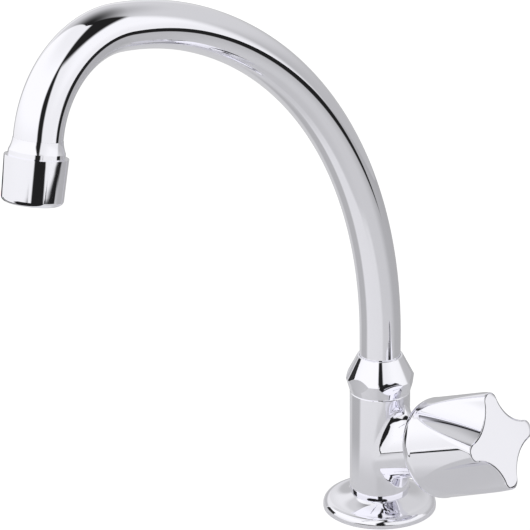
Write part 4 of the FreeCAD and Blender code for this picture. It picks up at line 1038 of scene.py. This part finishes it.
def make_floor_material(studio):
    """The pale floor: white to the camera, with the object's shadow, and a table's tone in reflections, with
    painted shade of the tap round it.
    """
    material, tree, output = new_material("studio_floor")
    place = object_position(tree)
    turn, right, parts = polar(tree, place, (0.0, 0.0, 0.0))
    round_turn = whole_turn(tree, turn)
    reach = add_node(tree, "ShaderNodeVectorMath", {0: place}, operation="LENGTH").outputs["Value"]
    forward = times(tree, parts["Y"], -1.0)
    tone, dark, foot = studio.table_level, studio.dark_level, studio.panel_level * PANEL_FOOT_SHARE

    # Close to the tap the table stays at its lower tone, painted shade round the tap's foot
    pale_end = between(tree, *PALE_END_TURN, rise(tree, reach, *PALE_END_REACH))
    pale_end = rise(tree, minus(tree, turn, pale_end), *PALE_END_SOFTNESS)
    masks = (rise(tree, turn, *PALE_TURN), minus(tree, 1.0, pale_end), rise(tree, reach, *PALE_REACH))
    table = over(tree, tone, tone * PALE_SHARE, *masks)
    # The first three layers are painted shade of the tap on the table: on the right under the knob, behind,
    # and its shadow on the left
    layers = (
        (tone * RIGHT_SHADE_SHARE, band(tree, turn, *RIGHT_SHADE_TURN), band(tree, reach, *RIGHT_SHADE_REACH)),
        (tone * BEHIND_SHADE_SHARE, band(tree, round_turn, *BEHIND_SHADE_TURN), rise(tree, reach, *BEHIND_SHADE_REACH)),
        (tone * LEFT_SHADOW_SHARE, band(tree, turn, *LEFT_SHADOW_TURN), rise(tree, reach, *LEFT_SHADOW_REACH)),
        (dark, rise(tree, forward, *FRONT_EDGE)),
        (dark, rise(tree, right, *RIGHT_EDGE), fall(tree, turn, *RIGHT_EDGE_TURN)),
        (foot, rise(tree, right, *RIGHT_FOOT), band(tree, turn, *RIGHT_FOOT_TURN)),
        (foot, rise(tree, forward, *LEFT_FOOT), band(tree, turn, *LEFT_FOOT_TURN)))
    for level, *masks in layers:
        table = over(tree, table, level, *masks)

    lit = calculate(tree, "MINIMUM", times(tree, table, TABLE_PAINT), 1.0)
    grey = result(tree, "ShaderNodeCombineColor", {0: lit, 1: lit, 2: lit})
    lit = result(tree, "ShaderNodeBsdfDiffuse", {"Color": grey})
    own = emission(tree, times(tree, table, TABLE_GLOW))
    reflected = result(tree, "ShaderNodeAddShader", {0: own, 1: lit})
    shadow = result(tree, "ShaderNodeBsdfDiffuse", {"Color": (SEEN_PAINT, SEEN_PAINT, SEEN_PAINT, 1.0)})
    seen = result(tree, "ShaderNodeAddShader", {0: emission(tree, SEEN_GLOW), 1: shadow})
    paint = result(tree, "ShaderNodeBsdfDiffuse", {"Color": (FLOOR_PAINT, FLOOR_PAINT, FLOOR_PAINT, 1.0)})
    path = add_node(tree, "ShaderNodeLightPath").outputs
    other = result(tree, "ShaderNodeMixShader", {0: path["Is Glossy Ray"], 1: paint, 2: reflected})
    surface = result(tree, "ShaderNodeMixShader", {0: path["Is Camera Ray"], 1: other, 2: seen})
    tree.links.new(surface, output.inputs["Surface"])
    return material


def make_flag_material(studio):
    """Black cloth that gives back a little light."""
    material, tree, output = new_material("studio_flag")
    tree.links.new(emission(tree, studio.dark_level * FLAG_SHARE), output.inputs["Surface"])
    return material


def make_world():
    """A white world, which the camera sees as the background."""
    world = bpy.data.worlds.new("studio_world")
    world.use_nodes = True
    tree = world.node_tree
    tree.nodes.clear()
    output = tree.nodes.new("ShaderNodeOutputWorld")
    light = result(tree, "ShaderNodeBackground", {"Color": (1.0, 1.0, 1.0, 1.0), "Strength": 1.0})
    tree.links.new(light, output.inputs["Surface"])
    bpy.context.scene.world = world


def make_floor(studio):
    """The floor that the tap stands on."""
    shape = bmesh.new()
    bmesh.ops.create_grid(shape, x_segments=8, y_segments=8, size=FLOOR_SIZE)
    return plain_object("studio_floor", shape, make_floor_material(studio))


def make_tent(studio):
    """The light tent, a sphere that is seen from inside and in reflections only."""
    shape = bmesh.new()
    bmesh.ops.create_uvsphere(
        shape, u_segments=96, v_segments=48, radius=studio.tent_radius,
        matrix=Matrix.Translation(TENT_CENTRE))
    bmesh.ops.reverse_faces(shape, faces=shape.faces)
    tent = plain_object("studio_tent", shape, make_tent_material(studio))
    tent.visible_camera = False
    return tent


def make_flag(studio):
    """The dark flag, upright beside the tap on the left, seen in reflections only."""
    turn = CAMERA_AZIMUTH + math.radians(FLAG_TURN)
    middle = Vector((math.cos(turn), math.sin(turn), 0.0)) * FLAG_AWAY
    across = Vector((-math.sin(turn), math.cos(turn), 0.0)) * FLAG_WIDTH / 2
    lift = Vector((0.0, 0.0, studio.flag_height))
    corners = (middle - across, middle + across, middle + across + lift, middle - across + lift)
    shape = bmesh.new()
    shape.faces.new([shape.verts.new(corner) for corner in corners])
    flag = plain_object("studio_flag", shape, make_flag_material(studio))
    flag.visible_camera = False
    flag.visible_diffuse = False
    flag.visible_shadow = False
    return flag


def make_camera(studio):
    """The camera at the photograph's place and angle."""
    turn = CAMERA_AZIMUTH + math.pi / 2
    spin = Matrix.Rotation(turn, 3, "Z")
    yaw, pitch, roll = studio.camera_yaw, studio.camera_pitch, studio.camera_roll
    ahead = spin @ Vector((
        math.sin(yaw) * math.cos(pitch),
        math.cos(yaw) * math.cos(pitch),
        -math.sin(pitch)))
    side = spin @ Vector((math.cos(yaw), -math.sin(yaw), 0.0))
    up = side.cross(ahead)
    across = math.cos(roll) * side + math.sin(roll) * up
    upward = -math.sin(roll) * side + math.cos(roll) * up
    axes = Matrix((across, upward, -ahead)).transposed()
    data = bpy.data.cameras.new("camera")
    data.sensor_fit = "HORIZONTAL"
    data.sensor_width = SENSOR_WIDTH
    data.lens = studio.focal_ratio * SENSOR_WIDTH
    camera = new_object("camera", data)
    camera.rotation_mode = "QUATERNION"
    camera.location = spin @ Vector((0.0, -studio.camera_distance, studio.camera_height))
    camera.rotation_quaternion = axes.to_quaternion()
    bpy.context.scene.camera = camera


class TAP_OT_stage(bpy.types.Operator):
    """Make the floor, the light tent, the flag, the world and the camera"""

    bl_idname = "tap.stage"
    bl_label = "Stage"

    def execute(self, context):
        studio = context.scene.tap_studio
        context.scene.view_settings.view_transform = "Standard"
        floor = make_floor(studio)
        tent = make_tent(studio)
        flag = make_flag(studio)
        make_world()
        make_camera(studio)
        return {"FINISHED"}


# Panel and registration

GROUPS = {
    "tap_finishes": TapFinishes,
    "tap_spout": TapSpout,
    "tap_shank": TapShank,
    "tap_screens": TapScreens,
    "tap_knob": TapKnob,
    "tap_studio": TapStudio,
}
OPERATORS = (
    TAP_OT_finishes, TAP_OT_spout, TAP_OT_shank, TAP_OT_screens, TAP_OT_knob, TAP_OT_stage)


class TAP_PT_panel(bpy.types.Panel):
    """Buttons for the tap's pieces and its stage"""

    bl_idname = "TAP_PT_panel"
    bl_label = "Kitchen Pillar Tap"
    bl_space_type = "VIEW_3D"
    bl_region_type = "UI"
    bl_category = "Tap"

    def draw(self, context):
        for operator in OPERATORS:
            self.layout.operator(operator.bl_idname)


CLASSES = (*GROUPS.values(), *OPERATORS, TAP_PT_panel)


def register():
    """Register the classes and their settings."""
    for item in CLASSES:
        bpy.utils.register_class(item)
    for name, group in GROUPS.items():
        setattr(bpy.types.Scene, name, bpy.props.PointerProperty(type=group))


def unregister():
    """Take the settings and the classes away."""
    for name in reversed(GROUPS):
        delattr(bpy.types.Scene, name)
    for item in reversed(CLASSES):
        bpy.utils.unregister_class(item)


def main():
    """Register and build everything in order."""
    register()
    bpy.ops.tap.finishes()
    bpy.ops.tap.spout()
    bpy.ops.tap.shank()
    bpy.ops.tap.screens()
    bpy.ops.tap.knob()
    bpy.ops.tap.stage()


if __name__ == "__main__":
    main()
